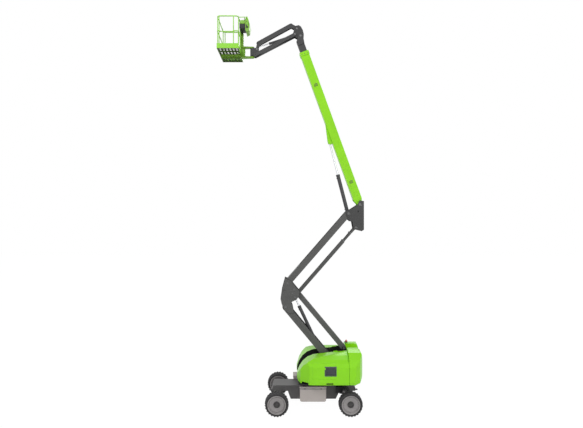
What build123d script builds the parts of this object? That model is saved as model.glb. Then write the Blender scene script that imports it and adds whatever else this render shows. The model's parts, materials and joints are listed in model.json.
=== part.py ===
"""Articulating boom lift, modelled piece by piece in millimetres.

+Z is up and the ground is Z = 0. The machine travels towards -X, its platform stands at -X and its
counterweight at +X. -Y is its left side. The origin is on the ground under the middle of its outline.
"""
from build123d import *
import math
import os

# ---------------------------------------------------------------- driving sizes
WHEELBASE = 2500.0
FRONT_AXLE_X = -500.0
REAR_AXLE_X = FRONT_AXLE_X + WHEELBASE
TYRE_RADIUS = 405.0
TYRE_WIDTH = 300.0
RIM_RADIUS = 322.0
WHEEL_Y = 975.0
AXLE_Z = TYRE_RADIUS
KINGPIN_Y = 755.0

CHASSIS_HALF_WIDTH = 330.0
CHASSIS_TOP = 794.0
CHASSIS_BOTTOM = 321.0
LASHING_EYES = (-740.0, 2290.0)
LASHING_Y = 220.0
LASHING_Z = (604.0, 629.0)
SLEW_X = 940.0
SLEW_RADIUS = 322.0
DECK_LOW = 1005.0
DECK_TOP = 1045.0

HOOD_BOTTOM = 1055.0
HOOD_FRONT = 195.0
HOOD_REAR = 1952.0
TAIL_FRONT = 1960.0
TAIL_REAR = 2460.0
HOOD_HALF_WIDTH = 1060.0
TROUGH_HALF_WIDTH = 300.0
TROUGH_WALL = (280.0, 292.0)
NOTCH_FLOOR = 1655.0
SHELL = 15.0
HINGE_SLOPE = ((1060.0, 1944.0), (1952.0, 2035.0))

# Pins of the folding tower and of the booms, as (x, z) at rest.
LOWER_ARM_FOOT = (1568.0, 1406.0)
LOWER_ARM_HEAD = (-212.0, 3534.0)
LOWER_LINK_FOOT = (1874.0, 2034.0)
LOWER_LINK_HEAD = (94.0, 4162.0)
UPPER_ARM_FOOT = (-140.0, 4378.0)
UPPER_ARM_HEAD = (2024.0, 6862.0)
UPPER_LINK_FOOT = (120.0, 3883.0)
UPPER_LINK_HEAD = (2284.0, 6367.0)
TOWER_CYLINDER_FOOT = (806.0, 2403.0)
TOWER_CYLINDER_EYE = (45.0, 4015.0)
BOOM_PIVOT = (2431.0, 7180.0)
BOOM_END = (450.0, 12630.0)
LIFT_CYLINDER_EYE = (1369.0, 9395.0)
LEVEL_PIVOT = (330.0, 13215.0)
JIB_UPPER_FOOT = (198.0, 13482.0)
JIB_LOWER_FOOT = (126.0, 13273.0)
JIB_REACH = (-1430.0, -740.0)
JIB_CYLINDER_EYE = (-1188.0, 12841.0)
ROTATOR_X = -1400.0

# Half widths of the layers that the arms move in, from the middle plane outwards.
PIN = 30.0
BORE = 31.0
LOW_IN, LOW_OUT = 80.0, 92.0
LINK_IN, LINK_OUT = 128.0, 164.0
ARM_HALF = 190.0
ARM_WALL = 22.0
PLATE_IN, PLATE_OUT = 205.0, 230.0
FOOT_IN, FOOT_OUT = 98.0, 120.0

BOOM_DEPTH, BOOM_HALF, BOOM_WALL = 305.0, 122.0, 9.0
FLY_DEPTH, FLY_HALF, FLY_WALL = 240.0, 98.0, 8.0
JIB_IN, JIB_OUT = 66.0, 90.0
JIB_BAR_IN, JIB_BAR_OUT = 96.0, 120.0
JIB_WALL, JIB_HALF = 48.0, 60.0
JIB_DEPTH = 148.0

PLATFORM_BACK = -1811.0
PLATFORM_FRONT = -2575.0
PLATFORM_HALF = 755.0
FLOOR_LOW = 12540.0
FLOOR_TOP = 12590.0
TOE_LOW = 12546.0
TOE_TOP = 12714.0
MID_RAIL = 13146.0
TOP_RAIL = 13658.0
RAIL = 19.0
INSET = 22.0
ENTRY_X = -1997.0
ENTRY_INSET = 48.0

PARTS = {}


# ---------------------------------------------------------------- helpers
def keep(name, *solids):
    """Keep solids under a node's name."""
    whole = Part() + list(solids)
    PARTS[name] = whole.clean()


def side(sketch, y_low, y_high):
    """Extrude a sketch drawn in (x, z) between two values of y."""
    plane = Plane(origin=(0, y_high, 0), x_dir=(1, 0, 0), z_dir=(0, -1, 0))
    return extrude(plane * sketch, y_high - y_low)


def both_sides(sketch, y_in, y_out):
    """Extrude a sketch drawn in (x, z) on both sides of the middle plane."""
    return side(sketch, y_in, y_out) + side(sketch, -y_out, -y_in)


def outline(*points):
    return make_face(Polyline(*points, close=True))


def disc(point, radius):
    return Pos(*point) * Circle(radius)


def facet(point, radius, sides=10):
    """A many-sided boss or eye, plainer than the round pin or bore that it surrounds."""
    return Pos(*point) * RegularPolygon(radius, sides)


def rod(point, radius, y_low, y_high):
    """A round pin, sleeve or bore across the machine at one (x, z)."""
    return side(disc(point, radius), y_low, y_high)


def bore(point, radius, y_low=-300.0, y_high=300.0):
    """A ten-sided bore whose flats stand just clear of a pin of the radius."""
    return side(facet(point, radius / math.cos(math.pi / 10), 10), y_low, y_high)


def block(x_low, x_high, y_low, y_high, z_low, z_high):
    size = (x_high - x_low, y_high - y_low, z_high - z_low)
    middle = ((x_low + x_high) / 2, (y_low + y_high) / 2, (z_low + z_high) / 2)
    return Pos(*middle) * Box(*size)


def shift(point, along, dx=0.0, dn=0.0):
    """The point dx along a direction (x, z) and dn to its left."""
    length = math.hypot(*along)
    ux, uz = along[0] / length, along[1] / length
    return (point[0] + ux * dx - uz * dn, point[1] + uz * dx + ux * dn)


def way(start, end):
    return (end[0] - start[0], end[1] - start[1])


def add(point, step):
    return (point[0] + step[0], point[1] + step[1])


def strip(start, end, before, after, low, high):
    """A straight band along start-end, from low to high beside its line."""
    along = way(start, end)
    length = math.hypot(*along)
    return outline(
        shift(start, along, -before, low),
        shift(start, along, length + after, low),
        shift(start, along, length + after, high),
        shift(start, along, -before, high),
    )


def bar(start, end, depth, end_radius=None):
    """A band of one depth with a round eye at each pin."""
    radius = end_radius or depth / 2
    band = strip(start, end, 0, 0, -depth / 2, depth / 2)
    return band + facet(start, radius) + facet(end, radius)


def sleeve(point, radius, y_low, y_high):
    return side(facet(point, radius), y_low, y_high)


def rail(start, end, radius):
    """A guard rail's bar, six-sided in section."""
    way = Vector(*end) - Vector(*start)
    return extrude(Plane(origin=start, z_dir=way) * RegularPolygon(radius, 6), way.length)


def mirrored(solid):
    return mirror(solid, about=Plane.XZ)


# ---------------------------------------------------------------- wheels
LUGS = 12
LUG_WIDTH, LUG_DEPTH = 44.0, 56.0
WHEEL_SIDES = 24
SEAT_SIDES = 20


def make_tyre():
    """A lugged tyre about the Y axis, its two rows of bars half a step apart."""
    half = TYRE_WIDTH / 2
    crown = TYRE_RADIUS - 17
    carcass = side(facet((0, 0), crown, WHEEL_SIDES), -half, half)
    carcass = chamfer(carcass.edges().group_by(Axis.Y)[0], 38)
    carcass = chamfer(carcass.edges().group_by(Axis.Y)[-1], 38)
    tyre = carcass
    for number in range(LUGS):
        for hand in (-1, 1):
            turn = 360.0 * (number + (0.5 if hand > 0 else 0.0)) / LUGS
            lug = Rot(0, 0, hand * 20) * Box(LUG_WIDTH, half - 6, LUG_DEPTH)
            tyre += Rot(0, turn, 0) * Pos(0, hand * (half / 2 + 2), TYRE_RADIUS - LUG_DEPTH / 2) * lug
    tyre = tyre & block(-500, 500, -half, half, -500, 500)
    return tyre - side(facet((0, 0), RIM_RADIUS, SEAT_SIDES), -half - 5, half + 5)


def make_rim():
    """A dished steel wheel about the Y axis, its outer face towards -Y."""
    half = TYRE_WIDTH / 2
    barrel = side(facet((0, 0), RIM_RADIUS, SEAT_SIDES), -half + 6, half - 20)
    dish = side(facet((0, 0), 302, 20), -half - 5, -half + 78)
    dish = chamfer(dish.edges().group_by(Axis.Y)[-1], 60, 40)
    back = side(facet((0, 0), 268, 12), half - 120, half)
    hub = side(facet((0, 0), 104, 10), -half + 52, -half + 90)
    return barrel - dish - back + hub


def build_wheels():
    tyre = make_tyre()
    rim = make_rim()
    places = (
        ("front_left", FRONT_AXLE_X, -1),
        ("front_right", FRONT_AXLE_X, 1),
        ("rear_left", REAR_AXLE_X, -1),
        ("rear_right", REAR_AXLE_X, 1),
    )
    for name, x, hand in places:
        seat = Pos(x, hand * WHEEL_Y, AXLE_Z)
        turn = Rot(0, 0, 0) if hand < 0 else Rot(0, 0, 180)
        keep("tyre_" + name, seat * turn * tyre)
        keep("rim_" + name, seat * turn * rim)


# ---------------------------------------------------------------- chassis
def build_chassis():
    body = side(
        outline(
            (-700, 600),
            (-640, CHASSIS_TOP),
            (2180, CHASSIS_TOP),
            (2250, 720),
            (2250, 600),
            (1700, 600),
            (1560, CHASSIS_BOTTOM),
            (-30, CHASSIS_BOTTOM),
            (-130, 600),
        ),
        -CHASSIS_HALF_WIDTH,
        CHASSIS_HALF_WIDTH,
    )
    for x in LASHING_EYES:
        root = 60 if x < 0 else -60
        for y in (-LASHING_Y, LASHING_Y):
            body += block(min(x - 50, x + root), max(x + 50, x + root), y - 45, y + 45, *LASHING_Z)
            body -= Pos(x, y, 616) * Cylinder(22, 60)
    keep("chassis_frame", body)
    low, high = CHASSIS_TOP, DECK_LOW - 55
    ring = extrude(Pos(SLEW_X, 0, low) * (RegularPolygon(SLEW_RADIUS, 14) - Circle(30)), high - low)
    keep("slew_ring", ring)
    for name, hand, front in (("left", -1, 292.0), ("right", 1, 70.0)):
        inner, outer = CHASSIS_HALF_WIDTH, 750.0
        box = block(front, 1190, inner, outer, 385, 850)
        box = fillet(box.edges().filter_by(Axis.Y).group_by(Axis.Z)[0], 65)
        lid = block(front - 12, 1202, inner, outer + 12, 850, 905)
        lip = block(front - 5, 1195, inner, outer + 5, 826, 850)
        pair = box + lid + lip
        keep("battery_box_" + name, pair if hand > 0 else mirrored(pair))
    front = block(-570, -430, -650, 650, 400, 600)
    forks = block(-565, -435, 650, 795, 505, 555) + block(-565, -435, 650, 795, 275, 325)
    stem = block(-565, -435, 620, 660, 275, 600)
    keep("front_axle", front + forks + stem + mirrored(forks + stem))
    rear = block(1925, 2075, -640, 640, 330, 600)
    motor = side(facet((REAR_AXLE_X, AXLE_Z), 125), 635, 765)
    stub = sleeve((REAR_AXLE_X, AXLE_Z), 75, 760, 930) + rod((REAR_AXLE_X, AXLE_Z), 30, 925, 940)
    keep("rear_axle", rear + motor + stub + mirrored(motor + stub))


def build_steering():
    """A steered hub on a vertical kingpin between the forks of the front axle, and its tie rod."""
    hub = block(-560, -440, 690, 790, 330, 500)
    spindle = sleeve((FRONT_AXLE_X, AXLE_Z), 75, 790, 930) + rod((FRONT_AXLE_X, AXLE_Z), 30, 925, 940)
    kingpin = Pos(FRONT_AXLE_X, KINGPIN_Y, 501) * Cylinder(26, 3)
    arm = block(-440, -300, 725, 765, 395, 425)
    right = hub + spindle + kingpin + arm
    keep("steer_knuckle_right", right)
    keep("steer_knuckle_left", mirrored(right))
    rod_y = 745.0
    keep("tie_rod", rail((-320, -rod_y, 455), (-320, rod_y, 455), 20))


# ---------------------------------------------------------------- turntable
def hood_outline(grow=0.0):
    """Side view of a hood: a full nose that curves up to a nearly level back."""
    face = outline(
        (HOOD_FRONT + 30, HOOD_BOTTOM + 20),
        (HOOD_FRONT - 12, 1160),
        (HOOD_FRONT, 1290),
        (285, 1500),
        (400, 1670),
        (560, 1805),
        (760, 1888),
        (1060, 1930),
        (2040, 2030),
        (2040, HOOD_BOTTOM),
        (HOOD_FRONT + 130, HOOD_BOTTOM),
    )
    return offset(face, grow, kind=Kind.INTERSECTION) if grow else face


def end_outline(grow=0.0):
    """End view of a hood, as (y, z): an upright side, a round shoulder and a top that falls outwards."""
    half = HOOD_HALF_WIDTH + grow
    inner, low = TROUGH_HALF_WIDTH - 100, HOOD_BOTTOM - 200
    edge = (
        (inner, low),
        (half - 40, low),
        (half, HOOD_BOTTOM + 90),
        (half - 16, 1640 + grow),
        (half - 80, 1770 + grow),
        (half - 200, 1862 + grow),
        (half - 400, 1948 + grow),
        (half - 740, 2045 + grow),
        (inner, 2060 + grow),
    )
    return make_face(Polyline(*edge, close=True))


def end_solid(grow=0.0):
    plane = Plane(origin=(-500, 0, 0), x_dir=(0, 1, 0), z_dir=(1, 0, 0))
    return extrude(plane * end_outline(grow), 4000)


def plan_solid(grow=0.0):
    """Plan view of a hood, with its nose drawn in towards the middle."""
    face = outline(
        (HOOD_FRONT - grow, 100),
        (HOOD_FRONT - grow, 560),
        (HOOD_FRONT + 110 - grow, 820 + grow),
        (HOOD_FRONT + 420, HOOD_HALF_WIDTH - 30 + grow),
        (HOOD_FRONT + 800, HOOD_HALF_WIDTH + grow),
        (2040 + grow, HOOD_HALF_WIDTH + grow),
        (2040 + grow, 100),
    )
    return Pos(0, 0, 900) * extrude(face, 1500)


HINGE_AT = (420.0,)
HINGE_LENGTH = 140.0
VENT = (1150.0, 1490.0, 1390.0, 1650.0)
PANEL = (714.0, 1492.0, 1264.0, 1783.0)


def hinge_leaf(places, radius, sides, ahead=0.0):
    """Barrels of a hood's hinge along its sloping axis, round where sides is 0."""
    start, end = HINGE_SLOPE
    barrels = []
    for place in places:
        x, z = shift(start, way(start, end), place + ahead)
        plane = Plane(origin=(x, TROUGH_HALF_WIDTH, z), z_dir=(end[0] - start[0], 0, end[1] - start[1]))
        shape = RegularPolygon(radius, sides) if sides else Circle(radius)
        barrels.append(extrude(plane * shape, HINGE_LENGTH))
    return barrels


def hood_form(grow=0.0):
    """The solid form of the right hood, from its three views."""
    inner = TROUGH_HALF_WIDTH - (0 if grow >= 0 else 50)
    return side(hood_outline(grow), inner, HOOD_HALF_WIDTH + 50) & end_solid(grow) & plan_solid(grow)


def build_hoods():
    below = block(HOOD_FRONT + 160, HOOD_REAR - SHELL, TROUGH_HALF_WIDTH - 50, HOOD_HALF_WIDTH - 60, 900, 1120)
    shell = hood_form() - hood_form(-SHELL) - below
    panel = (hood_form(6) - hood_form(-5)) & block(PANEL[0], PANEL[1], 940, 1200, PANEL[2], PANEL[3])
    shell = (shell + panel) - block(HOOD_REAR, 2100, 0, 1200, 900, 2300)
    vent_hole = block(VENT[0], VENT[1], 900, 1200, VENT[2], VENT[3])
    grip = block(1180, 1410, 900, 1200, 1075, 1125)
    right = shell - vent_hole - grip + hinge_leaf(HINGE_AT, 14, 8)
    keep("hood_right", right)
    keep("hood_left", mirrored(right))
    vent = block(VENT[0] + 4, VENT[1] - 4, HOOD_HALF_WIDTH - 62, HOOD_HALF_WIDTH - 22, VENT[2] + 4, VENT[3] - 4)
    frame = block(VENT[0] - 30, VENT[1] + 30, HOOD_HALF_WIDTH - 80, HOOD_HALF_WIDTH - 62, VENT[2] - 30, VENT[3] + 30)
    keep("vent_right", vent + frame)
    keep("vent_left", mirrored(vent + frame))


def build_tail():
    face = outline(
        (TAIL_FRONT, HOOD_BOTTOM),
        (2140, HOOD_BOTTOM),
        (2330, 1090),
        (2420, 1200),
        (TAIL_REAR, 1400),
        (TAIL_REAR - 30, 1960),
        (2400, 2060),
        (2300, 2110),
        (TAIL_FRONT, 2110),
    )
    body = side(face, -HOOD_HALF_WIDTH, HOOD_HALF_WIDTH)
    plan = outline(
        (TAIL_FRONT, -HOOD_HALF_WIDTH),
        (2150, -HOOD_HALF_WIDTH),
        (2340, -940),
        (2440, -700),
        (TAIL_REAR, -300),
        (TAIL_REAR, 300),
        (2440, 700),
        (2340, 940),
        (2150, HOOD_HALF_WIDTH),
        (TAIL_FRONT, HOOD_HALF_WIDTH),
    )
    body = body & (Pos(0, 0, 900) * extrude(plan, 1500))
    plane = Plane(origin=(1900, 0, 0), x_dir=(0, 1, 0), z_dir=(1, 0, 0))
    ends = outline(
        (-1030, 1000),
        (-HOOD_HALF_WIDTH, 1150),
        (-1035, 1640),
        (-930, 1900),
        (-720, 2060),
        (-480, 2110),
        (480, 2110),
        (720, 2060),
        (930, 1900),
        (1035, 1640),
        (HOOD_HALF_WIDTH, 1150),
        (1030, 1000),
    )
    body = body & extrude(plane * ends, 700)
    notch = block(1900, 2600, -270, 270, NOTCH_FLOOR, 2300)
    pocket = block(1900, 2020, -270, 270, 900, NOTCH_FLOOR + 1)
    keep("counterweight", body - notch - pocket)


def build_turntable():
    deck = block(240, 2200, -880, 880, DECK_LOW, DECK_TOP)
    ring = extrude(Pos(SLEW_X, 0, DECK_LOW - 44) * RegularPolygon(400, 18), 44)
    keep("turntable_deck", deck + ring)
    cheek = outline(
        (1330, DECK_TOP),
        (2010, DECK_TOP),
        (1990, 1560),
        (1700, 1560),
        (1640, 1500),
        (1500, 1500),
        (1440, 1400),
    )
    cheeks = both_sides(cheek, PLATE_IN, PLATE_OUT)
    foot = outline(
        (1750, DECK_TOP),
        (2010, DECK_TOP),
        (1960, 2060),
        (1910, 2098),
        (1838, 2098),
        (1795, 2060),
    )
    feet = both_sides(foot, FOOT_IN, FOOT_OUT)
    pins = rod(LOWER_ARM_FOOT, PIN, -PLATE_OUT, PLATE_OUT)
    pins += rod(LOWER_LINK_FOOT, PIN, -FOOT_OUT, FOOT_OUT)
    tie = block(1760, 2000, -PLATE_IN, PLATE_IN, DECK_TOP, 1150)
    keep("tower_base", cheeks + feet + pins + tie)
    wall = side(hood_outline(-2) & Pos(1095, 1500) * Rectangle(1700, 1100), *TROUGH_WALL)
    for barrel in hinge_leaf(HINGE_AT, 11, 0, HINGE_LENGTH + 6):
        middle = barrel.center()
        wall += barrel
        wall += block(middle.X - 30, middle.X + 30, TROUGH_WALL[0], 294, middle.Z - 40, middle.Z + 4)
    keep("trough_wall_right", wall)
    keep("trough_wall_left", mirrored(wall))
    pack = block(560, 1250, 340, 900, DECK_TOP + 5, 1500)
    keep("power_pack_right", pack)
    keep("power_pack_left", mirrored(block(560, 1080, 340, 900, DECK_TOP + 5, 1500)))
    base = extrude(Pos(2020, 440, 2110) * RegularPolygon(50, 12), 24)
    lens = extrude(Pos(2020, 440, 2134) * RegularPolygon(38, 12), 66, taper=6)
    keep("beacon", base + lens)


# ---------------------------------------------------------------- folding tower
def build_lower_arm():
    """An open channel whose web faces the front, with the tower cylinder between its cheeks."""
    depth = 235.0
    profile = bar(LOWER_ARM_FOOT, LOWER_ARM_HEAD, depth)
    cheeks = both_sides(profile, ARM_HALF - ARM_WALL, ARM_HALF)
    web = side(strip(LOWER_ARM_FOOT, LOWER_ARM_HEAD, -160, -150, depth / 2 - ARM_WALL, depth / 2), -ARM_HALF, ARM_HALF)
    eyes = sleeve(LOWER_ARM_FOOT, 58, -ARM_HALF, ARM_HALF) + sleeve(LOWER_ARM_HEAD, 58, -ARM_HALF, ARM_HALF)
    pin = rod(TOWER_CYLINDER_FOOT, 26, -ARM_HALF + 1, ARM_HALF - 1)
    bores = bore(LOWER_ARM_FOOT, BORE) + bore(LOWER_ARM_HEAD, BORE)
    keep("lower_arm", (cheeks + web + eyes + pin) - bores)


def build_lower_link():
    """A channel open below, so that the tower cylinder's eye and barrel pass between its walls."""
    depth = 178.0
    walls = both_sides(bar(LOWER_LINK_FOOT, LOWER_LINK_HEAD, depth, 82), LOW_IN, LOW_OUT)
    top = strip(LOWER_LINK_HEAD, LOWER_LINK_FOOT, -150, -150, depth / 2 - 12, depth / 2)
    web = side(top, -LOW_OUT, LOW_OUT)
    eyes = sleeve(LOWER_LINK_FOOT, 50, -LOW_OUT, LOW_OUT) + sleeve(LOWER_LINK_HEAD, 50, -LOW_OUT, LOW_OUT)
    bores = bore(LOWER_LINK_FOOT, BORE) + bore(LOWER_LINK_HEAD, BORE)
    keep("lower_link", walls + web + eyes - bores)


def build_knuckle():
    """Two curved cheeks joined by the pins of the folding tower."""
    cheek = outline(
        (-234, 4563),
        (-346, 4149),
        (-391, 3834),
        (-346, 3632),
        (-234, 3406),
        (-80, 3318),
        (81, 3339),
        (36, 3564),
        (-32, 3699),
        (182, 3798),
        (262, 3930),
        (284, 4081),
        (-32, 4464),
    )
    cheeks = both_sides(cheek, PLATE_IN, PLATE_OUT)
    pins = rod(LOWER_ARM_HEAD, PIN, -PLATE_OUT, PLATE_OUT)
    pins += sleeve(LOWER_LINK_HEAD, PIN, -PLATE_OUT, PLATE_OUT)
    pins += rod(UPPER_ARM_FOOT, PIN, -PLATE_OUT, PLATE_OUT)
    pins += both_sides(facet(TOWER_CYLINDER_EYE, 22), 66, PLATE_IN)
    pins += both_sides(disc(UPPER_LINK_FOOT, 26), LINK_IN - 8, PLATE_IN)
    keep("tower_knuckle", cheeks + pins)


def build_upper_arm():
    """A channel open along its upper side, where the lift cylinder lies when the boom is down."""
    depth = 214.0
    profile = bar(UPPER_ARM_FOOT, UPPER_ARM_HEAD, depth)
    cheeks = both_sides(profile, ARM_HALF - ARM_WALL, ARM_HALF)
    web = side(strip(UPPER_ARM_FOOT, UPPER_ARM_HEAD, -130, -180, -depth / 2, -depth / 2 + ARM_WALL), -ARM_HALF, ARM_HALF)
    cover = side(
        strip(UPPER_ARM_FOOT, UPPER_ARM_HEAD, -130, -2500, depth / 2 - ARM_WALL, depth / 2), -ARM_HALF, ARM_HALF
    )
    eyes = sleeve(UPPER_ARM_FOOT, 58, -ARM_HALF, ARM_HALF) + both_sides(facet(UPPER_ARM_HEAD, 58), 77, ARM_HALF)
    bores = bore(UPPER_ARM_FOOT, BORE) + bore(UPPER_ARM_HEAD, BORE - 6)
    keep("upper_arm", (cheeks + web + cover + eyes) - bores)


def build_upper_link():
    """Twin rods that keep the upright level, thicker over their lower part."""
    length = math.dist(UPPER_LINK_FOOT, UPPER_LINK_HEAD)
    rods = bar(UPPER_LINK_FOOT, UPPER_LINK_HEAD, 60, 46)
    thick = strip(UPPER_LINK_FOOT, UPPER_LINK_HEAD, 0, 760 - length, -55, 55)
    twins = both_sides(rods + thick, LINK_IN, LINK_OUT)
    bores = bore(UPPER_LINK_FOOT, 27) + bore(UPPER_LINK_HEAD, 27)
    keep("upper_link", twins - bores)


def build_upright():
    cheek = outline(
        (2572, 7299),
        (2418, 7328),
        (2341, 7161),
        (2090, 7000),
        (1970, 6945),
        (1945, 6860),
        (1972, 6770),
        (2024, 6640),
        (2085, 6582),
        (2165, 6568),
        (2215, 6310),
        (2290, 6280),
        (2492, 6229),
        (2572, 6282),
    )
    cheeks = both_sides(cheek, PLATE_IN, PLATE_OUT)
    back = block(2550, 2572, -PLATE_IN, PLATE_IN, 6282, 7000)
    pins = rod(UPPER_ARM_HEAD, PIN - 6, -PLATE_OUT, PLATE_OUT) + rod(BOOM_PIVOT, PIN, -PLATE_OUT, PLATE_OUT)
    pins += both_sides(facet(UPPER_LINK_HEAD, 26), LINK_IN - 8, PLATE_IN)
    keep("upright", cheeks + back + pins)


def ram(name, foot, eye, barrel_length, barrel_radius, rod_radius, eye_half, pin_radius, rod_back):
    """A hydraulic cylinder: a barrel on its foot pin and a bright rod that ends in an eye."""
    along = way(foot, eye)
    length = math.hypot(*along)
    start = shift(foot, along, pin_radius + 5)
    mouth = shift(foot, along, barrel_length)
    eye_radius = pin_radius + 20
    inner = shift(foot, along, eye_radius + 25)
    plane = Plane(origin=(start[0], 0, start[1]), z_dir=(along[0], 0, along[1]))
    run = barrel_length - pin_radius - 5
    barrel = extrude(plane * RegularPolygon(barrel_radius, 14), run)
    barrel += sleeve(foot, eye_radius, -eye_half, eye_half)
    gland = Plane(origin=(mouth[0], 0, mouth[1]), z_dir=(-along[0], 0, -along[1]))
    barrel += extrude(gland * RegularPolygon(barrel_radius + 5, 14), 70)
    beyond = shift(foot, along, barrel_length + 5)
    hollow = rail((inner[0], 0, inner[1]), (beyond[0], 0, beyond[1]), rod_radius * 1.2 + 2)
    keep(name + "_cylinder", barrel - hollow - bore(foot, pin_radius + 1))
    back = shift(foot, along, rod_back)
    line = Plane(origin=(back[0], 0, back[1]), z_dir=(along[0], 0, along[1]))
    stem = extrude(line * RegularPolygon(rod_radius, 12), length - pin_radius - rod_back)
    stem += sleeve(eye, eye_radius, -eye_half, eye_half)
    keep(name + "_rod", stem - bore(eye, pin_radius + 1))


def build_boom():
    along = way(BOOM_PIVOT, BOOM_END)
    half = BOOM_DEPTH / 2
    start = 240.0
    length = math.hypot(*along)
    skin = strip(shift(BOOM_PIVOT, along, start), BOOM_END, 0, 0, -half, half)
    hollow = strip(shift(BOOM_PIVOT, along, start - 50), BOOM_END, 0, 50, -half + BOOM_WALL, half - BOOM_WALL)
    box = side(skin, -BOOM_HALF, BOOM_HALF) - side(hollow, -BOOM_HALF + BOOM_WALL, BOOM_HALF - BOOM_WALL)
    root = outline(
        shift(BOOM_PIVOT, along, -40, 55),
        shift(BOOM_PIVOT, along, 200, half),
        shift(BOOM_PIVOT, along, 620, half),
        shift(BOOM_PIVOT, along, 620, -half),
        shift(BOOM_PIVOT, along, 200, -half),
        shift(BOOM_PIVOT, along, -40, -70),
    )
    roots = both_sides(root + facet(BOOM_PIVOT, 85), BOOM_HALF, BOOM_HALF + 14)
    eye = sleeve(BOOM_PIVOT, 60, -195, 195)
    collar = strip(shift(BOOM_PIVOT, along, length - 120), BOOM_END, 0, 20, -half - 14, half + 14)
    inner = strip(shift(BOOM_PIVOT, along, length - 200), BOOM_END, 0, 60, -FLY_DEPTH / 2 - 8, FLY_DEPTH / 2 + 8)
    nose = side(collar, -BOOM_HALF - 14, BOOM_HALF + 14) - side(inner, -FLY_HALF - 8, FLY_HALF + 8)
    lug_place, lug_proud = 2444.0, 241.0
    lug_shape = ((-60, half - 4), (-70, lug_proud), (-20, lug_proud + 52), (60, lug_proud + 50),
                 (330, lug_proud - 10), (700, half - 4))
    lug = outline(*[shift(BOOM_PIVOT, along, lug_place + step, rise) for step, rise in lug_shape])
    lugs = both_sides(lug, 50, 75) + both_sides(facet(LIFT_CYLINDER_EYE, 30), 75, 84)
    solid = box + roots + eye + nose + lugs
    solid = solid - bore(BOOM_PIVOT, BORE)
    keep("main_boom", solid)


def build_fly():
    along = way(BOOM_PIVOT, BOOM_END)
    half = FLY_DEPTH / 2
    tip = shift(BOOM_END, along, 470)
    inside = shift(BOOM_END, along, -4700)
    box = side(strip(inside, tip, 0, 0, -half, half), -FLY_HALF, FLY_HALF)
    hollow = strip(inside, tip, 50, -60, -half + FLY_WALL, half - FLY_WALL)
    box = box - side(hollow, -FLY_HALF + FLY_WALL, FLY_HALF - FLY_WALL)
    lug = outline(
        shift(tip, along, -180, half),
        shift(tip, along, 20, half - 20),
        add(LEVEL_PIVOT, (-70, 40)),
        add(LEVEL_PIVOT, (0, 78)),
        add(LEVEL_PIVOT, (80, 20)),
        shift(tip, along, -180, -half),
    )
    lugs = both_sides(lug, JIB_BAR_IN, JIB_BAR_OUT)
    pin = rod(LEVEL_PIVOT, PIN, -JIB_BAR_OUT, JIB_BAR_OUT)
    keep("fly_boom", box + lugs + pin)


# ---------------------------------------------------------------- jib
JIB_UPPER_HEAD = add(JIB_UPPER_FOOT, JIB_REACH)
JIB_LOWER_HEAD = add(JIB_LOWER_FOOT, JIB_REACH)


def build_jib():
    bracket = outline(
        (395, 13125),
        (428, 13165),
        (440, 13230),
        (440, 13290),
        (400, 13440),
        (330, 13560),
        (262, 13600),
        (150, 13580),
        (104, 13480),
        (52, 13300),
        (60, 13215),
        (190, 13150),
        (330, 13120),
    )
    plates = both_sides(bracket, JIB_IN, JIB_OUT)
    pins = rod(JIB_UPPER_FOOT, 26, -JIB_OUT, JIB_OUT) + rod(JIB_LOWER_FOOT, 26, -JIB_OUT, JIB_OUT)
    pins += both_sides(facet(JIB_LOWER_FOOT, 26), JIB_OUT, JIB_BAR_OUT)
    web = side(outline((425, 13180), (440, 13290), (400, 13440), (380, 13430), (415, 13290)), -JIB_IN, JIB_IN)
    solid = plates + pins + web + sleeve(LEVEL_PIVOT, 52, -JIB_OUT, JIB_OUT)
    keep("jib_bracket", solid - bore(LEVEL_PIVOT, BORE))

    back = (-20.0, 13600.0)
    front = (-1185.0, 12960.0)
    deep = JIB_DEPTH / 2
    arm = bar(JIB_UPPER_FOOT, back, JIB_DEPTH - 18) + bar(back, front, JIB_DEPTH)
    arm += bar(front, JIB_UPPER_HEAD, 104, 58)
    lug = outline(
        add(JIB_CYLINDER_EYE, (-50, 0)),
        add(JIB_CYLINDER_EYE, (0, -48)),
        add(JIB_CYLINDER_EYE, (48, 0)),
        add(JIB_CYLINDER_EYE, (90, 120)),
        add(JIB_CYLINDER_EYE, (-50, 110)),
    )
    walls = both_sides(arm + lug, JIB_WALL, JIB_HALF)
    top = side(strip(front, back, 0, 0, deep - 10, deep), -JIB_HALF, JIB_HALF)
    eyes = sleeve(JIB_UPPER_FOOT, 50, -JIB_HALF, JIB_HALF) + sleeve(JIB_UPPER_HEAD, 50, -JIB_HALF, JIB_HALF)
    stubs = both_sides(facet(JIB_CYLINDER_EYE, 26), 34, JIB_WALL)
    bores = bore(JIB_UPPER_FOOT, 27) + bore(JIB_UPPER_HEAD, 27)
    keep("jib_arm", (walls + top + eyes + stubs) - bores)

    low = both_sides(bar(JIB_LOWER_FOOT, JIB_LOWER_HEAD, 112, 56), JIB_BAR_IN, JIB_BAR_OUT)
    keep("jib_link", low - bore(JIB_LOWER_FOOT, 27) - bore(JIB_LOWER_HEAD, 27))


def build_rotator():
    plate = outline(
        add(JIB_UPPER_HEAD, (55, 20)),
        add(JIB_UPPER_HEAD, (15, 45)),
        (ROTATOR_X + 55, 12788),
        (ROTATOR_X, 12788),
        (ROTATOR_X, 12514),
        (ROTATOR_X + 60, 12514),
        add(JIB_LOWER_HEAD, (0, -56)),
        add(JIB_LOWER_HEAD, (55, -40)),
        add(JIB_UPPER_HEAD, (62, -30)),
    )
    plates = both_sides(plate, JIB_IN, JIB_OUT)
    pins = rod(JIB_UPPER_HEAD, 26, -JIB_OUT, JIB_OUT) + both_sides(facet(JIB_LOWER_HEAD, 26), JIB_OUT, JIB_BAR_OUT)
    drum = Pos(ROTATOR_X, 0, 12650) * Cylinder(84, 280)
    keep("platform_rotator", plates + pins + drum)


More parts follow.
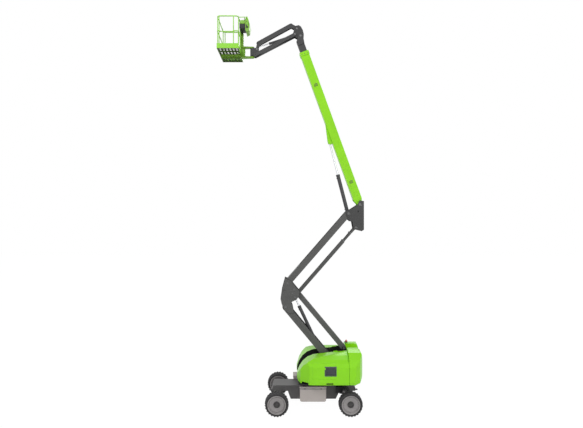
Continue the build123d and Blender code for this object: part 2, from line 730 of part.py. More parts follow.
# ---------------------------------------------------------------- platform
def rail_loop(level):
    """A rail round the platform at one height, with cut corners."""
    front, back, half = PLATFORM_FRONT + INSET, PLATFORM_BACK - INSET, PLATFORM_HALF - INSET
    middle = ((front + back) / 2, 0, level - RAIL)
    outer = Pos(*middle) * Rectangle(back - front + 2 * RAIL, 2 * half + 2 * RAIL)
    inner = Pos(*middle) * Rectangle(back - front - 2 * RAIL, 2 * half - 2 * RAIL)
    outer = chamfer(outer.vertices(), 60)
    inner = chamfer(inner.vertices(), 48)
    return extrude(outer - inner, 2 * RAIL)


def make_posts():
    front, back, half = PLATFORM_FRONT + INSET, PLATFORM_BACK - INSET, PLATFORM_HALF - INSET
    places = ((front + 60, half), (ENTRY_X, half), (back, half - 90), (back, 130), (front, half - 90))
    posts = []
    for x, y in places:
        for hand in (-1, 1):
            posts.append(rail((x, hand * y, FLOOR_TOP), (x, hand * y, TOP_RAIL - 6), RAIL - 3))
    return posts


def build_floor():
    """A slotted floor in a shallow frame, with toe boards round it."""
    middle = (PLATFORM_FRONT + PLATFORM_BACK) / 2
    low, high, half = PLATFORM_FRONT + 6, PLATFORM_BACK - 6, PLATFORM_HALF - 6
    floor = block(low, high, -half, half, FLOOR_TOP - 6, FLOOR_TOP)
    rows, columns = 2, 6
    for row in range(rows):
        for column in range(columns):
            x = middle + (row - (rows - 1) / 2) * 320
            y = (column - (columns - 1) / 2) * 236
            floor -= Pos(x, y, FLOOR_TOP) * Box(250, 110, 40)
    ring = block(low, high, -half, half, FLOOR_LOW, FLOOR_TOP - 6)
    ring -= block(low + 30, high - 30, -half + 30, half - 30, 12000, 13000)
    keep("platform_floor", floor + ring)
    toe = block(PLATFORM_FRONT, PLATFORM_BACK, -PLATFORM_HALF, PLATFORM_HALF, TOE_LOW, TOE_TOP)
    keep("toe_boards", toe - block(low, high, -half, half, 12000, 13000))


def build_platform():
    build_floor()
    front, half = PLATFORM_FRONT + INSET, PLATFORM_HALF - INSET
    bay = block(front + 76, ENTRY_X - RAIL, -half - 60, -half + 60, MID_RAIL - 60, MID_RAIL + 60)
    rails = make_posts() + [rail_loop(TOP_RAIL), rail_loop(MID_RAIL) - bay]
    over = TOP_RAIL + 12
    for y in (-625.0, -95.0):
        rails.append(rail((PLATFORM_BACK - INSET, y, TOP_RAIL), (-1520, y, over), 13))
        rails.append(rail((-1520, y, over), (-1520, y, 13330), 13))
    rails.append(rail((-1640, -625.0, over), (-1640, -95.0, over), 13))
    pin = side(facet((ENTRY_X, MID_RAIL), 9, 6), -half, -half + 26)
    keep("guard_rails", *rails, pin)

    bar_y = -half + ENTRY_INSET
    gate = rail((front + 85, bar_y, MID_RAIL), (ENTRY_X, bar_y, MID_RAIL), 15)
    keep("entry_bar", gate + rod((ENTRY_X, MID_RAIL), 22, bar_y - 18, bar_y + 18))

    arm = outline((PLATFORM_BACK, -100), (ROTATOR_X, -58), (ROTATOR_X, 58), (PLATFORM_BACK, 100))
    arm += Pos(ROTATOR_X, 0) * RegularPolygon(62, 12)
    arms = extrude(Pos(0, 0, 12796) * arm, 44) + extrude(Pos(0, 0, 12444) * arm, 48)
    mast = block(PLATFORM_BACK, -1720, -50, 50, 12444, 13300)
    mast -= block(PLATFORM_BACK + 8, -1728, -42, 42, 12860, 13400)
    gusset = block(-1720, -1660, -50, 50, 12500, 12800)
    bearer = block(PLATFORM_FRONT + 60, PLATFORM_BACK + 4, 60, 120, 12470, FLOOR_LOW)
    bearer -= block(PLATFORM_FRONT, PLATFORM_BACK - 60, 67, 113, 12400, FLOOR_LOW - 7)
    keep("platform_support", arms + mast + gusset + bearer + mirrored(bearer))

    back = PLATFORM_BACK + 3
    tray = block(back, -1612, -600, -120, 13300, 13340)
    desk = side(outline((back, 13340), (-1612, 13340), (-1612, 13600), (back, 13480)), -590, -130)
    stay = block(back, -1725, -120, 50, 13300, 13340)
    keep("control_console", tray + desk + stay)
    shield = outline(
        (-1608, 13610),
        (-1549, 13713),
        (-1500, 13600),
        (-1446, 13405),
        (-1475, 13229),
        (-1578, 13170),
        (-1600, 13250),
    )
    keep("console_shield", side(shield, -600, -120))


# ---------------------------------------------------------------- whole machine
def main():
    build_wheels()
    build_chassis()
    build_steering()
    build_turntable()
    build_hoods()
    build_tail()
    build_lower_arm()
    build_lower_link()
    build_knuckle()
    build_upper_arm()
    build_upper_link()
    build_upright()
    ram("tower", TOWER_CYLINDER_FOOT, TOWER_CYLINDER_EYE, 1255, 60, 28, 60, 26, 560)
    ram("lift", UPPER_ARM_HEAD, LIFT_CYLINDER_EYE, 1440, 66, 30, 44, 24, 740)
    ram("jib", JIB_LOWER_FOOT, JIB_CYLINDER_EYE, 985, 38, 20, 30, 26, 250)
    build_boom()
    build_fly()
    build_jib()
    build_rotator()
    build_platform()
    os.makedirs("parts", exist_ok=True)
    for name, solid in PARTS.items():
        export_step(solid, "parts/" + name + ".step")


main()
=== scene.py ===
import bmesh
import bpy
import json
import math
from mathutils import Matrix, Vector


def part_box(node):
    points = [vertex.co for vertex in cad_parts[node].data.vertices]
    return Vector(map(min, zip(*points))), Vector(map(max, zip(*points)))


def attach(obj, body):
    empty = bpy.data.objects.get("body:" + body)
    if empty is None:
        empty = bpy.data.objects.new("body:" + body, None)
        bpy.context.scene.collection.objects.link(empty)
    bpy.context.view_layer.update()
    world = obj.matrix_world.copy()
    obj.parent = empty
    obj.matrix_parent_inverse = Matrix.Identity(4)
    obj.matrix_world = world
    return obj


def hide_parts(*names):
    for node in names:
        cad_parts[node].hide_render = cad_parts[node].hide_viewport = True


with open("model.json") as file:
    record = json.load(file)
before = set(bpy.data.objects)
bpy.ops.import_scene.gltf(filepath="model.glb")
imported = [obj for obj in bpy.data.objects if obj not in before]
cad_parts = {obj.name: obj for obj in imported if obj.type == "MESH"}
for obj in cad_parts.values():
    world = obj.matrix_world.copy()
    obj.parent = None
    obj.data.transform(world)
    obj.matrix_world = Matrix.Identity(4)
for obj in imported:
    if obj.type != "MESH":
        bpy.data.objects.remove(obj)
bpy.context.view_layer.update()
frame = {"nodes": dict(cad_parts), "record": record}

SIDES = (("left", -1), ("right", 1))
NODES = frame["nodes"]
JOINTS = {joint["name"]: joint for joint in frame["record"]["behaviour"]["joints"]}


def pin(name):
    """A joint's pin as (x, z) in metres."""
    place = JOINTS[name]["pos_m"]
    return (place[0], place[2])


# -------- camera, floor and light
CAMERA_PLACE = (0.0, -16.875, 6.84)
CAMERA_LENS = 28.96
CAMERA_SENSOR = 36.0
CAMERA_REACH = 200.0


def add_camera():
    """A level camera that faces the machine's left side."""
    data = bpy.data.cameras.new("camera")
    data.sensor_width = CAMERA_SENSOR
    data.lens = CAMERA_LENS
    data.clip_end = CAMERA_REACH
    camera = bpy.data.objects.new("camera", data)
    camera.location = CAMERA_PLACE
    camera.rotation_euler = (math.radians(90), 0, 0)
    bpy.context.scene.collection.objects.link(camera)
    bpy.context.scene.camera = camera


def seen_rays(tree):
    """A value of 1 for rays from the camera, from gloss and from glass, and of 0 for the rest."""
    path = tree.nodes.new("ShaderNodeLightPath")
    first = tree.nodes.new("ShaderNodeMath")
    first.operation = "ADD"
    second = tree.nodes.new("ShaderNodeMath")
    second.operation = "ADD"
    second.use_clamp = True
    tree.links.new(path.outputs["Is Camera Ray"], first.inputs[0])
    tree.links.new(path.outputs["Is Glossy Ray"], first.inputs[1])
    tree.links.new(first.outputs[0], second.inputs[0])
    tree.links.new(path.outputs["Is Transmission Ray"], second.inputs[1])
    return second.outputs[0]


def blend_shaders(tree, share, first, second, out):
    """Send a blend of two shaders to an output node."""
    mix = tree.nodes.new("ShaderNodeMixShader")
    tree.links.new(share, mix.inputs[0])
    tree.links.new(first.outputs[0], mix.inputs[1])
    tree.links.new(second.outputs[0], mix.inputs[2])
    tree.links.new(mix.outputs[0], out.inputs[0])


FLOOR_SIZE, FLOOR_Z = 120, -0.001
FLOOR_GREY = (0.86, 0.86, 0.86, 1)
FLOOR_WHITE, FLOOR_WHITE_SHARE = 1.033, 0.955
WHITE = (1, 1, 1, 1)


def add_floor():
    """A floor that looks white and still shows the machine's shadow."""
    bpy.ops.mesh.primitive_plane_add(size=FLOOR_SIZE, location=(0, 0, FLOOR_Z))
    floor = bpy.context.object
    floor.name = "floor"
    material = bpy.data.materials.new("floor")
    material.use_nodes = True
    tree = material.node_tree
    tree.nodes.clear()
    out = tree.nodes.new("ShaderNodeOutputMaterial")
    diffuse = tree.nodes.new("ShaderNodeBsdfDiffuse")
    diffuse.inputs["Color"].default_value = FLOOR_GREY
    white = tree.nodes.new("ShaderNodeEmission")
    white.inputs["Color"].default_value = WHITE
    white.inputs["Strength"].default_value = FLOOR_WHITE
    share = tree.nodes.new("ShaderNodeMath")
    share.operation = "MULTIPLY"
    share.inputs[1].default_value = FLOOR_WHITE_SHARE
    tree.links.new(seen_rays(tree), share.inputs[0])
    blend_shaders(tree, share.outputs[0], diffuse, white, out)
    floor.data.materials.append(material)


SKY_LIGHT = 0.42


def add_world():
    """A soft white sky that looks plain white to the camera."""
    world = bpy.data.worlds.new("world")
    bpy.context.scene.world = world
    world.use_nodes = True
    tree = world.node_tree
    tree.nodes.clear()
    out = tree.nodes.new("ShaderNodeOutputWorld")
    soft = tree.nodes.new("ShaderNodeBackground")
    soft.inputs["Color"].default_value = WHITE
    soft.inputs["Strength"].default_value = SKY_LIGHT
    white = tree.nodes.new("ShaderNodeBackground")
    white.inputs["Color"].default_value = WHITE
    white.inputs["Strength"].default_value = 1.0
    blend_shaders(tree, seen_rays(tree), soft, white, out)


# Each lamp's name, place, aim, size in metres and power in watts.
LAMPS = (
    ("key", (-9, -16, 22), (0, 0, 6), 10.0, 2300.0),
    ("fill", (12, -14, 10), (0, 0, 5), 12.0, 950.0),
    ("back", (4, 16, 18), (0, 0, 7), 10.0, 900.0),
)


def add_lamp(name, place, aim, size, power):
    """A round area lamp that faces a point."""
    data = bpy.data.lights.new(name, "AREA")
    data.shape = "DISK"
    data.size = size
    data.energy = power
    lamp = bpy.data.objects.new(name, data)
    lamp.location = place
    way = Vector(aim) - Vector(place)
    lamp.rotation_euler = way.to_track_quat("-Z", "Y").to_euler()
    bpy.context.scene.collection.objects.link(lamp)


def set_view():
    """Plain display colours."""
    bpy.context.scene.view_settings.view_transform = "Standard"


def add_lights():
    """A key lamp, a fill lamp and a lamp behind the machine."""
    for lamp in LAMPS:
        add_lamp(*lamp)


# -------- materials
def srgb(*levels):
    """Turn display levels from 0 to 255 into a linear colour."""
    values = []
    for level in levels:
        part = level / 255.0
        values.append(part / 12.92 if part <= 0.04045 else ((part + 0.055) / 1.055) ** 2.4)
    return tuple(values)


MATERIALS = {}
COAT_ROUGH = 0.12
TONE_SCALE, TONE_DETAIL = 1.7, 5.0
GRAIN_DETAIL = 2.0
GRAIN_DEPTH = 0.0008
TONE_STOPS = (0.35, 0.65)
WEAR_STOPS = (0.54, 0.62)
WEAR_GAIN, WEAR_LIFT = 1.6, 0.03
# How far the roughness swings below and above its middle value.
ROUGH_BELOW, ROUGH_ABOVE = 0.06, 0.08
BEVEL_SAMPLES = 4


def set_stops(ramp, stops, colours):
    """Place a colour ramp's two stops and give them their colours."""
    for element, stop, colour in zip(ramp.color_ramp.elements, stops, colours):
        element.position = stop
        element.color = (*colour, 1)


def add_wear(tree, last, colour, wear):
    """Lighten a colour where the mesh has sharp outward edges."""
    shape = tree.nodes.new("ShaderNodeNewGeometry")
    ramp = tree.nodes.new("ShaderNodeValToRGB")
    set_stops(ramp, WEAR_STOPS, ((0, 0, 0), (wear, wear, wear)))
    tree.links.new(shape.outputs["Pointiness"], ramp.inputs["Fac"])
    blend = tree.nodes.new("ShaderNodeMix")
    blend.data_type = "RGBA"
    worn = [min(1.0, value * WEAR_GAIN + WEAR_LIFT) for value in colour]
    blend.inputs[7].default_value = (*worn, 1)
    tree.links.new(ramp.outputs["Color"], blend.inputs[0])
    tree.links.new(last, blend.inputs[6])
    return blend.outputs[2]


def paint(name, levels, rough=0.42, spread=0.05, coat=0.0, bump=0.15, grain=420.0,
          metal=0.0, edge=0.004, wear=0.0, gleam=0.28):
    """Make a material with a slow change of tone, a fine peel and softly rounded edges."""
    colour = srgb(*levels)
    material = bpy.data.materials.new(name)
    material.use_nodes = True
    tree = material.node_tree
    shader = tree.nodes["Principled BSDF"]
    shader.inputs["Metallic"].default_value = metal
    shader.inputs["Coat Weight"].default_value = coat
    shader.inputs["Specular IOR Level"].default_value = gleam
    shader.inputs["Coat Roughness"].default_value = COAT_ROUGH
    place = tree.nodes.new("ShaderNodeTexCoord")
    slow = tree.nodes.new("ShaderNodeTexNoise")
    slow.inputs["Scale"].default_value = TONE_SCALE
    slow.inputs["Detail"].default_value = TONE_DETAIL
    fine = tree.nodes.new("ShaderNodeTexNoise")
    fine.inputs["Scale"].default_value = grain
    fine.inputs["Detail"].default_value = GRAIN_DETAIL
    tree.links.new(place.outputs["Object"], slow.inputs["Vector"])
    tree.links.new(place.outputs["Object"], fine.inputs["Vector"])
    tone = tree.nodes.new("ShaderNodeValToRGB")
    low = [max(0.0, value * (1 - spread)) for value in colour]
    high = [min(1.0, value * (1 + spread)) for value in colour]
    set_stops(tone, TONE_STOPS, (low, high))
    tree.links.new(slow.outputs["Fac"], tone.inputs["Fac"])
    last = tone.outputs["Color"]
    if wear:
        last = add_wear(tree, last, colour, wear)
    tree.links.new(last, shader.inputs["Base Color"])
    gloss = tree.nodes.new("ShaderNodeMapRange")
    gloss.inputs["To Min"].default_value = max(0.05, rough - ROUGH_BELOW)
    gloss.inputs["To Max"].default_value = min(1.0, rough + ROUGH_ABOVE)
    tree.links.new(slow.outputs["Fac"], gloss.inputs["Value"])
    tree.links.new(gloss.outputs[0], shader.inputs["Roughness"])
    relief = tree.nodes.new("ShaderNodeBump")
    relief.inputs["Strength"].default_value = bump
    relief.inputs["Distance"].default_value = GRAIN_DEPTH
    tree.links.new(fine.outputs["Fac"], relief.inputs["Height"])
    if edge:
        soft = tree.nodes.new("ShaderNodeBevel")
        soft.samples = BEVEL_SAMPLES
        soft.inputs["Radius"].default_value = edge
        tree.links.new(soft.outputs["Normal"], relief.inputs["Normal"])
    tree.links.new(relief.outputs["Normal"], shader.inputs["Normal"])
    MATERIALS[name] = material


def make_materials():
    """All the machine's paints, metals, plastics and rubber."""
    paint("hood_green", (140, 222, 22), rough=0.30, coat=0.12, spread=0.03, bump=0.06, edge=0.012)
    paint("boom_green", (142, 216, 30), rough=0.34, coat=0.08, spread=0.04, bump=0.08)
    paint("rail_green", (150, 214, 70), rough=0.40, coat=0.1, spread=0.05, bump=0.08, edge=0)
    paint("toe_green", (140, 212, 48), rough=0.38, coat=0.15, spread=0.04, bump=0.08, edge=0)
    paint("bracket_green", (112, 158, 45), rough=0.42, spread=0.06, bump=0.1)
    paint("shield_green", (128, 178, 66), rough=0.45, spread=0.05, bump=0.1, edge=0.003)
    paint("arm_grey", (80, 80, 79), rough=0.46, spread=0.07, bump=0.18, wear=0.25)
    paint("upright_grey", (60, 60, 60), rough=0.46, spread=0.07, bump=0.18, wear=0.25)
    paint("jib_grey", (56, 56, 57), rough=0.46, spread=0.07, bump=0.18, wear=0.25)
    paint("chassis_grey", (92, 91, 91), rough=0.5, spread=0.07, bump=0.2, wear=0.2)
    paint("deck_black", (28, 29, 29), rough=0.55, spread=0.1, bump=0.2)
    paint("trough_black", (22, 24, 22), rough=0.6, spread=0.12, bump=0.2)
    paint("box_pale", (184, 176, 172), rough=0.45, spread=0.035, bump=0.12, edge=0.008)
    paint("rim_grey", (150, 146, 146), rough=0.4, spread=0.05, bump=0.1, edge=0.003)
    paint("vent_dark", (82, 88, 90), rough=0.5, spread=0.08, bump=0.2, edge=0.002)
    paint("machine_dark", (44, 44, 46), rough=0.5, spread=0.12, bump=0.25)
    paint("console_dark", (38, 38, 40), rough=0.48, spread=0.1, bump=0.2)
    paint("floor_steel", (52, 66, 34), rough=0.5, spread=0.12, bump=0.25, edge=0)
    paint("cylinder_black", (70, 70, 72), rough=0.36, spread=0.06, bump=0.1)
    paint("rod_chrome", (214, 216, 220), rough=0.14, spread=0.02, bump=0.02, metal=1.0, edge=0, gleam=0.5)
    paint("beacon_red", (226, 74, 30), rough=0.2, spread=0.05, bump=0.02, coat=0.6)
    paint("frame_green", (66, 92, 28), rough=0.45, spread=0.08, bump=0.15)
    paint("rim_pale", (196, 194, 192), rough=0.35, spread=0.05, bump=0.08, edge=0)
    paint("hub_dark", (74, 72, 72), rough=0.45, spread=0.08, bump=0.2, edge=0.0015)
    paint("head_steel", (104, 104, 104), rough=0.4, spread=0.06, bump=0.12, edge=0.0015, metal=0.3)
    paint("tyre_rubber", (66, 65, 66), rough=0.78, spread=0.14, bump=0.5, grain=260.0, edge=0.004)


# Each material and the CAD nodes that wear it.
NODE_PAINTS = (
    ("hood_green", ("hood_left", "hood_right", "counterweight")),
    ("boom_green", ("main_boom",)),
    ("rail_green", ("guard_rails", "entry_bar")),
    ("toe_green", ("toe_boards",)),
    ("bracket_green", ("platform_support",)),
    ("shield_green", ("console_shield",)),
    ("arm_grey", ("lower_arm", "lower_link", "tower_knuckle", "upper_arm", "upper_link")),
    ("upright_grey", ("upright",)),
    ("jib_grey", ("jib_bracket", "jib_arm", "jib_link", "platform_rotator", "fly_boom")),
    ("chassis_grey", (
        "chassis_frame", "front_axle", "rear_axle", "steer_knuckle_left", "steer_knuckle_right", "tie_rod",
    )),
    ("deck_black", ("slew_ring", "turntable_deck", "tower_base")),
    ("trough_black", ("trough_wall_left", "trough_wall_right")),
    ("box_pale", ("battery_box_left", "battery_box_right")),
    ("rim_grey", ("rim_front_left", "rim_front_right", "rim_rear_left", "rim_rear_right")),
    ("tyre_rubber", ("tyre_front_left", "tyre_front_right", "tyre_rear_left", "tyre_rear_right")),
    ("vent_dark", ("vent_left", "vent_right")),
    ("machine_dark", ("power_pack_left", "power_pack_right")),
    ("console_dark", ("control_console",)),
    ("floor_steel", ("platform_floor",)),
    ("cylinder_black", ("tower_cylinder", "lift_cylinder", "jib_cylinder")),
    ("rod_chrome", ("tower_rod", "lift_rod", "jib_rod")),
    ("beacon_red", ("beacon",)),
)


def dress_nodes():
    """Give every slot of the CAD nodes its material."""
    for name, nodes in NODE_PAINTS:
        for node in nodes:
            for slot in NODES[node].material_slots:
                slot.material = MATERIALS[name]


# -------- making pieces
def place_piece(piece, body, stands_for):
    """Put a new object in the scene and let it ride on a CAD body."""
    bpy.context.scene.collection.objects.link(piece)
    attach(piece, body)
    if stands_for:
        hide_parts(*stands_for)


def finish_piece(name, bm, paint_name, body, angle=32.0, stands_for=()):
    """Turn mesh data into a piece; edges sharper than the angle stay crisp."""
    bmesh.ops.recalc_face_normals(bm, faces=bm.faces)
    mesh = bpy.data.meshes.new(name)
    bm.to_mesh(mesh)
    bm.free()
    for face in mesh.polygons:
        face.use_smooth = True
    mesh.set_sharp_from_angle(angle=math.radians(angle))
    mesh.materials.append(MATERIALS[paint_name])
    place_piece(bpy.data.objects.new(name, mesh), body, stands_for)


STEEP = 0.9
BEVEL_PROFILE = 0.6


def across(way):
    """Two directions square to one another and to a way."""
    way = Vector(way).normalized()
    first = way.cross(Vector((0, 0, 1)) if abs(way.z) < STEEP else Vector((1, 0, 0))).normalized()
    return first, way.cross(first)


def join_rings(bm, rings, closed=False):
    """Join rings of points with faces; the two ends are capped unless the last ring meets the first."""
    steps = len(rings[0])
    after_rings = rings[1:] + rings[:1] if closed else rings[1:]
    for low, high in zip(rings, after_rings):
        for step in range(steps):
            after = (step + 1) % steps
            bm.faces.new((low[step], low[after], high[after], high[step]))
    if not closed:
        bm.faces.new(rings[0])
        bm.faces.new(rings[-1])


def turned(bm, profile, place, way, steps=48, closed=False):
    """Turn a profile of (distance along, radius) about a line from a place."""
    way = Vector(way).normalized()
    first, second = across(way)
    rings = []
    for along, radius in profile:
        centre = Vector(place) + way * along
        ring = []
        for step in range(steps):
            angle = 2 * math.pi * step / steps
            spoke = first * math.cos(angle) + second * math.sin(angle)
            ring.append(bm.verts.new(centre + spoke * radius))
        rings.append(ring)
    join_rings(bm, rings, closed)


def round_edges(bm, edges, size):
    """Round some edges with two facets."""
    bmesh.ops.bevel(bm, geom=list(edges), offset=size, segments=2, affect="EDGES", profile=BEVEL_PROFILE)


def slab(bm, low, high, edge=0.0, turn=None):
    """Make a box between two corners, with its edges rounded and then turned."""
    start = set(bm.verts)
    made = bmesh.ops.create_cube(bm, size=1.0)["verts"]
    low, high = Vector(low), Vector(high)
    size = high - low
    for vert in made:
        vert.co = Vector((vert.co.x * size.x, vert.co.y * size.y, vert.co.z * size.z)) + (low + high) / 2
    if edge:
        round_edges(bm, {line for vert in made for line in vert.link_edges}, edge)
    if turn:
        fresh = [vert for vert in bm.verts if vert not in start]
        bmesh.ops.transform(bm, matrix=turn, verts=fresh)


def side_slab(bm, xs, zs, y, half, edge, turn=None):
    """Make a slab between limits in x and z, centred on a y."""
    slab(bm, (xs[0], y - half, zs[0]), (xs[1], y + half, zs[1]), edge, turn)


def turn_about(place, degrees, axis):
    """A turn about a point."""
    place = Vector(place)
    turn = Matrix.Rotation(math.radians(degrees), 4, axis)
    return Matrix.Translation(place) @ turn @ Matrix.Translation(-place)


def plate(bm, points, y_low, y_high, edge=0.0):
    """Make a flat plate from an outline in (x, z)."""
    near = [bm.verts.new((x, y_low, z)) for x, z in points]
    far = [bm.verts.new((x, y_high, z)) for x, z in points]
    flats = [bm.faces.new(near), bm.faces.new(far)]
    for index in range(len(points)):
        after = (index + 1) % len(points)
        bm.faces.new((near[index], near[after], far[after], far[index]))
    if edge:
        round_edges(bm, {line for face in flats for line in face.edges}, edge)


# Sizes of bolt heads, as (radius, height).
NUT, SCREW = (0.0115, 0.016), (0.006, 0.006)
EAR_BOLT, CATCH_BOLT, SHIELD_BOLT = (0.0085, 0.008), (0.007, 0.006), (0.009, 0.007)
PAD_BOLT, MOUTH_BOLT, CHASSIS_BOLT = (0.008, 0.007), (0.010, 0.008), (0.012, 0.010)


def bolt(bm, place, way, size):
    """Make a hexagon head on a round washer."""
    radius, height = size
    turned(bm, ((0, radius * 1.45), (height * 0.2, radius * 1.45)), place, way, 20)
    top = Vector(place) + Vector(way).normalized() * height * 0.2
    turned(bm, ((0, radius), (height * 0.65, radius), (height * 0.8, radius * 0.82)), top, way, 6)


BEND_SHARES = (0.0, 0.25, 0.5, 0.75, 1.0)
BEND_LIMIT = 0.45


def bent_path(points, bend, cyclic):
    """Round a path's corners; a bend takes up less than half of the runs beside it."""
    path = []
    count = len(points)
    for index, point in enumerate(points):
        point = Vector(point)
        if not cyclic and index in (0, count - 1):
            path.append(point)
            continue
        before, after = Vector(points[index - 1]), Vector(points[(index + 1) % count])
        reach = min(bend, (before - point).length * BEND_LIMIT, (after - point).length * BEND_LIMIT)
        start = point + (before - point).normalized() * reach
        end = point + (after - point).normalized() * reach
        for share in BEND_SHARES:
            path.append(start.lerp(point, share).lerp(point.lerp(end, share), share))
    return path


def pipe(name, points, radius, paint_name, body, bend=0.05, cyclic=False, stands_for=()):
    """A round bar or pipe along straight runs with rounded corners, as one curve."""
    path = bent_path(points, bend, cyclic)
    data = bpy.data.curves.new(name, "CURVE")
    data.dimensions = "3D"
    data.bevel_depth = radius
    data.bevel_resolution = 4
    data.use_fill_caps = True
    line = data.splines.new("POLY")
    line.points.add(len(path) - 1)
    for knot, place in zip(line.points, path):
        knot.co = (*place, 1)
    line.use_cyclic_u = cyclic
    data.materials.append(MATERIALS[paint_name])
    place_piece(bpy.data.objects.new(name, data), body, stands_for)


def side_point(place):
    """A point on the machine's middle plane from its (x, z)."""
    return Vector((place[0], 0, place[1]))


def line_frame(foot, head):
    """The way from one point to another, and the direction square to it in the side view."""
    way = (head - foot).normalized()
    return way, Vector((-way.z, 0, way.x))


def placed(offsets, place, way, normal):
    """Turn offsets of (along, square to it) from a place into points of (x, z)."""
    points = [place + way * along + normal * rise for along, rise in offsets]
    return [(point.x, point.z) for point in points]


# -------- wheels
# Each wheel's name, its joint, and the way that it faces: -1 for left, 1 for right.
WHEELS = (
    ("front_left", "spin_front_left", -1), ("front_right", "spin_front_right", 1),
    ("rear_left", "spin_rear_left", -1), ("rear_right", "spin_rear_right", 1),
)
AXLE = (0, 1, 0)
TYRE_R, RIM_R = 0.4045, 0.318
CROWN_R = TYRE_R - 0.019
# Sections are lists of (distance out from the wheel's middle, radius).
HALF_TYRE = (
    (0.104, RIM_R), (0.126, RIM_R + 0.006), (0.141, RIM_R + 0.020), (0.1475, RIM_R + 0.040),
    (0.1455, CROWN_R - 0.024), (0.138, CROWN_R - 0.011), (0.122, CROWN_R - 0.003), (0.070, CROWN_R),
)
TYRE_SECTION = tuple((-out, radius) for out, radius in HALF_TYRE) + HALF_TYRE[::-1]
WALL_RING = (
    (0.1455, RIM_R + 0.031), (0.1490, RIM_R + 0.034), (0.1490, RIM_R + 0.037), (0.1455, RIM_R + 0.040),
)
# Stations along one bar of the tread: distance out, slant, half width and outer radius.
LUG = (
    (0.004, -0.030, 0.014, TYRE_R), (0.050, -0.014, 0.015, TYRE_R), (0.100, 0.008, 0.018, TYRE_R - 0.001),
    (0.130, 0.020, 0.020, TYRE_R - 0.006), (0.1465, 0.026, 0.021, TYRE_R - 0.018),
    (0.1490, 0.028, 0.021, TYRE_R - 0.040),
)
LUG_PAIRS, LUG_TAPER = 23, 0.86
SHOULDER = 0.14
LUG_ROOT, SHOULDER_ROOT = CROWN_R - 0.012, CROWN_R - 0.045
RIM_SECTION = (
    (-0.126, RIM_R - 0.012), (-0.122, RIM_R - 0.002), (0.132, RIM_R - 0.002), (0.143, RIM_R - 0.006),
    (0.1445, RIM_R - 0.014), (0.140, RIM_R - 0.021), (0.128, RIM_R - 0.026), (0.098, RIM_R - 0.034),
    (0.090, RIM_R - 0.044), (0.096, RIM_R - 0.060), (0.104, RIM_R - 0.078), (0.103, RIM_R - 0.098),
    (0.086, RIM_R - 0.150), (0.078, 0.150), (0.078, 0.118), (0.066, 0.112), (0.066, 0.001), (-0.024, 0.001),
    (-0.024, RIM_R - 0.060), (-0.110, RIM_R - 0.050), (-0.126, RIM_R - 0.020),
)
HUB_SECTION = (
    (0.060, 0.106), (0.084, 0.106), (0.089, 0.101), (0.089, 0.060),
    (0.102, 0.056), (0.106, 0.050), (0.106, 0.001),
)
RING_SECTION = (
    (0.1405, RIM_R - 0.0135), (0.1462, RIM_R - 0.0155), (0.1445, RIM_R - 0.0215), (0.1385, RIM_R - 0.0215),
)
VALVE_SECTION = ((0, 0.0055), (0.024, 0.0055), (0.028, 0.004))
VALVE_OUT, VALVE_UP = 0.118, RIM_R - 0.034
# Circles of bolts: how many, first place in steps, circle radius, distance out, and the bolt's size.
WHEEL_NUTS = (10, 0.0, 0.081, 0.088, NUT)
CAP_SCREWS = (4, 0.5, 0.036, 0.105, SCREW)


def add_lug(bm, centre, side, angle):
    """Make one slanted bar of the tread, from near the middle over a shoulder."""
    place = Matrix.Translation(centre) @ Matrix.Rotation(angle, 4, "Y")
    rows = []
    for y, slant, half, top in LUG:
        low = LUG_ROOT if y < SHOULDER else SHOULDER_ROOT
        corners = ((-half, low), (-half * LUG_TAPER, top), (half * LUG_TAPER, top), (half, low))
        row = [(slant + dx, math.sqrt(reach ** 2 - (slant + dx) ** 2)) for dx, reach in corners]
        rows.append([bm.verts.new(place @ Vector((x, side * y, z))) for x, z in row])
    join_rings(bm, rows)


def add_tyre(name, centre):
    """A tyre with rounded side walls, and bars that stand half a step apart on its two halves."""
    bm = bmesh.new()
    turned(bm, TYRE_SECTION, centre, AXLE, 96, closed=True)
    for side, shift in ((-1, 0.0), (1, 0.5)):
        turned(bm, [(side * out, radius) for out, radius in WALL_RING], centre, AXLE, 96, closed=True)
        for number in range(LUG_PAIRS):
            add_lug(bm, centre, side, 2 * math.pi * (number + shift) / LUG_PAIRS)
    finish_piece("tread_" + name, bm, "tyre_rubber", "wheel_" + name, 28, ("tyre_" + name,))


def add_bolt_circle(bm, centre, out, count, first, circle, rise, size):
    """Make bolts in a circle round an axle."""
    for number in range(count):
        angle = 2 * math.pi * (number + first) / count
        spoke = Vector((math.cos(angle) * circle, 0, math.sin(angle) * circle))
        bolt(bm, centre + spoke + out * rise, out, size)


def add_rim(name, centre, hand):
    """A dished rim, its hub with nuts, and the tyre's valve."""
    body = "wheel_" + name
    out = Vector((0, hand, 0))
    bm = bmesh.new()
    turned(bm, RIM_SECTION, centre, out, 72, closed=True)
    finish_piece("dish_" + name, bm, "rim_grey", body, 30, ("rim_" + name,))
    bm = bmesh.new()
    turned(bm, HUB_SECTION, centre, out, 48)
    add_bolt_circle(bm, centre, out, *WHEEL_NUTS)
    add_bolt_circle(bm, centre, out, *CAP_SCREWS)
    finish_piece("hub_" + name, bm, "hub_dark", body, 30)
    bm = bmesh.new()
    turned(bm, VALVE_SECTION, centre + out * VALVE_OUT + Vector((0, 0, VALVE_UP)), out, 10)
    finish_piece("valve_" + name, bm, "machine_dark", body, 30)


def add_wheels():
    """Four wheels, each with a tyre and a rim on its joint."""
    for name, joint, hand in WHEELS:
        centre = Vector(JOINTS[joint]["pos_m"])
        add_tyre(name, centre)
        add_rim(name, centre, hand)


def add_rim_rings():
    """A paler ring round each rim's face."""
    for name, joint, hand in WHEELS:
        bm = bmesh.new()
        turned(bm, RING_SECTION, JOINTS[joint]["pos_m"], (0, hand, 0), 72, closed=True)
        finish_piece("rim_ring_" + name, bm, "rim_pale", "wheel_" + name, 40)


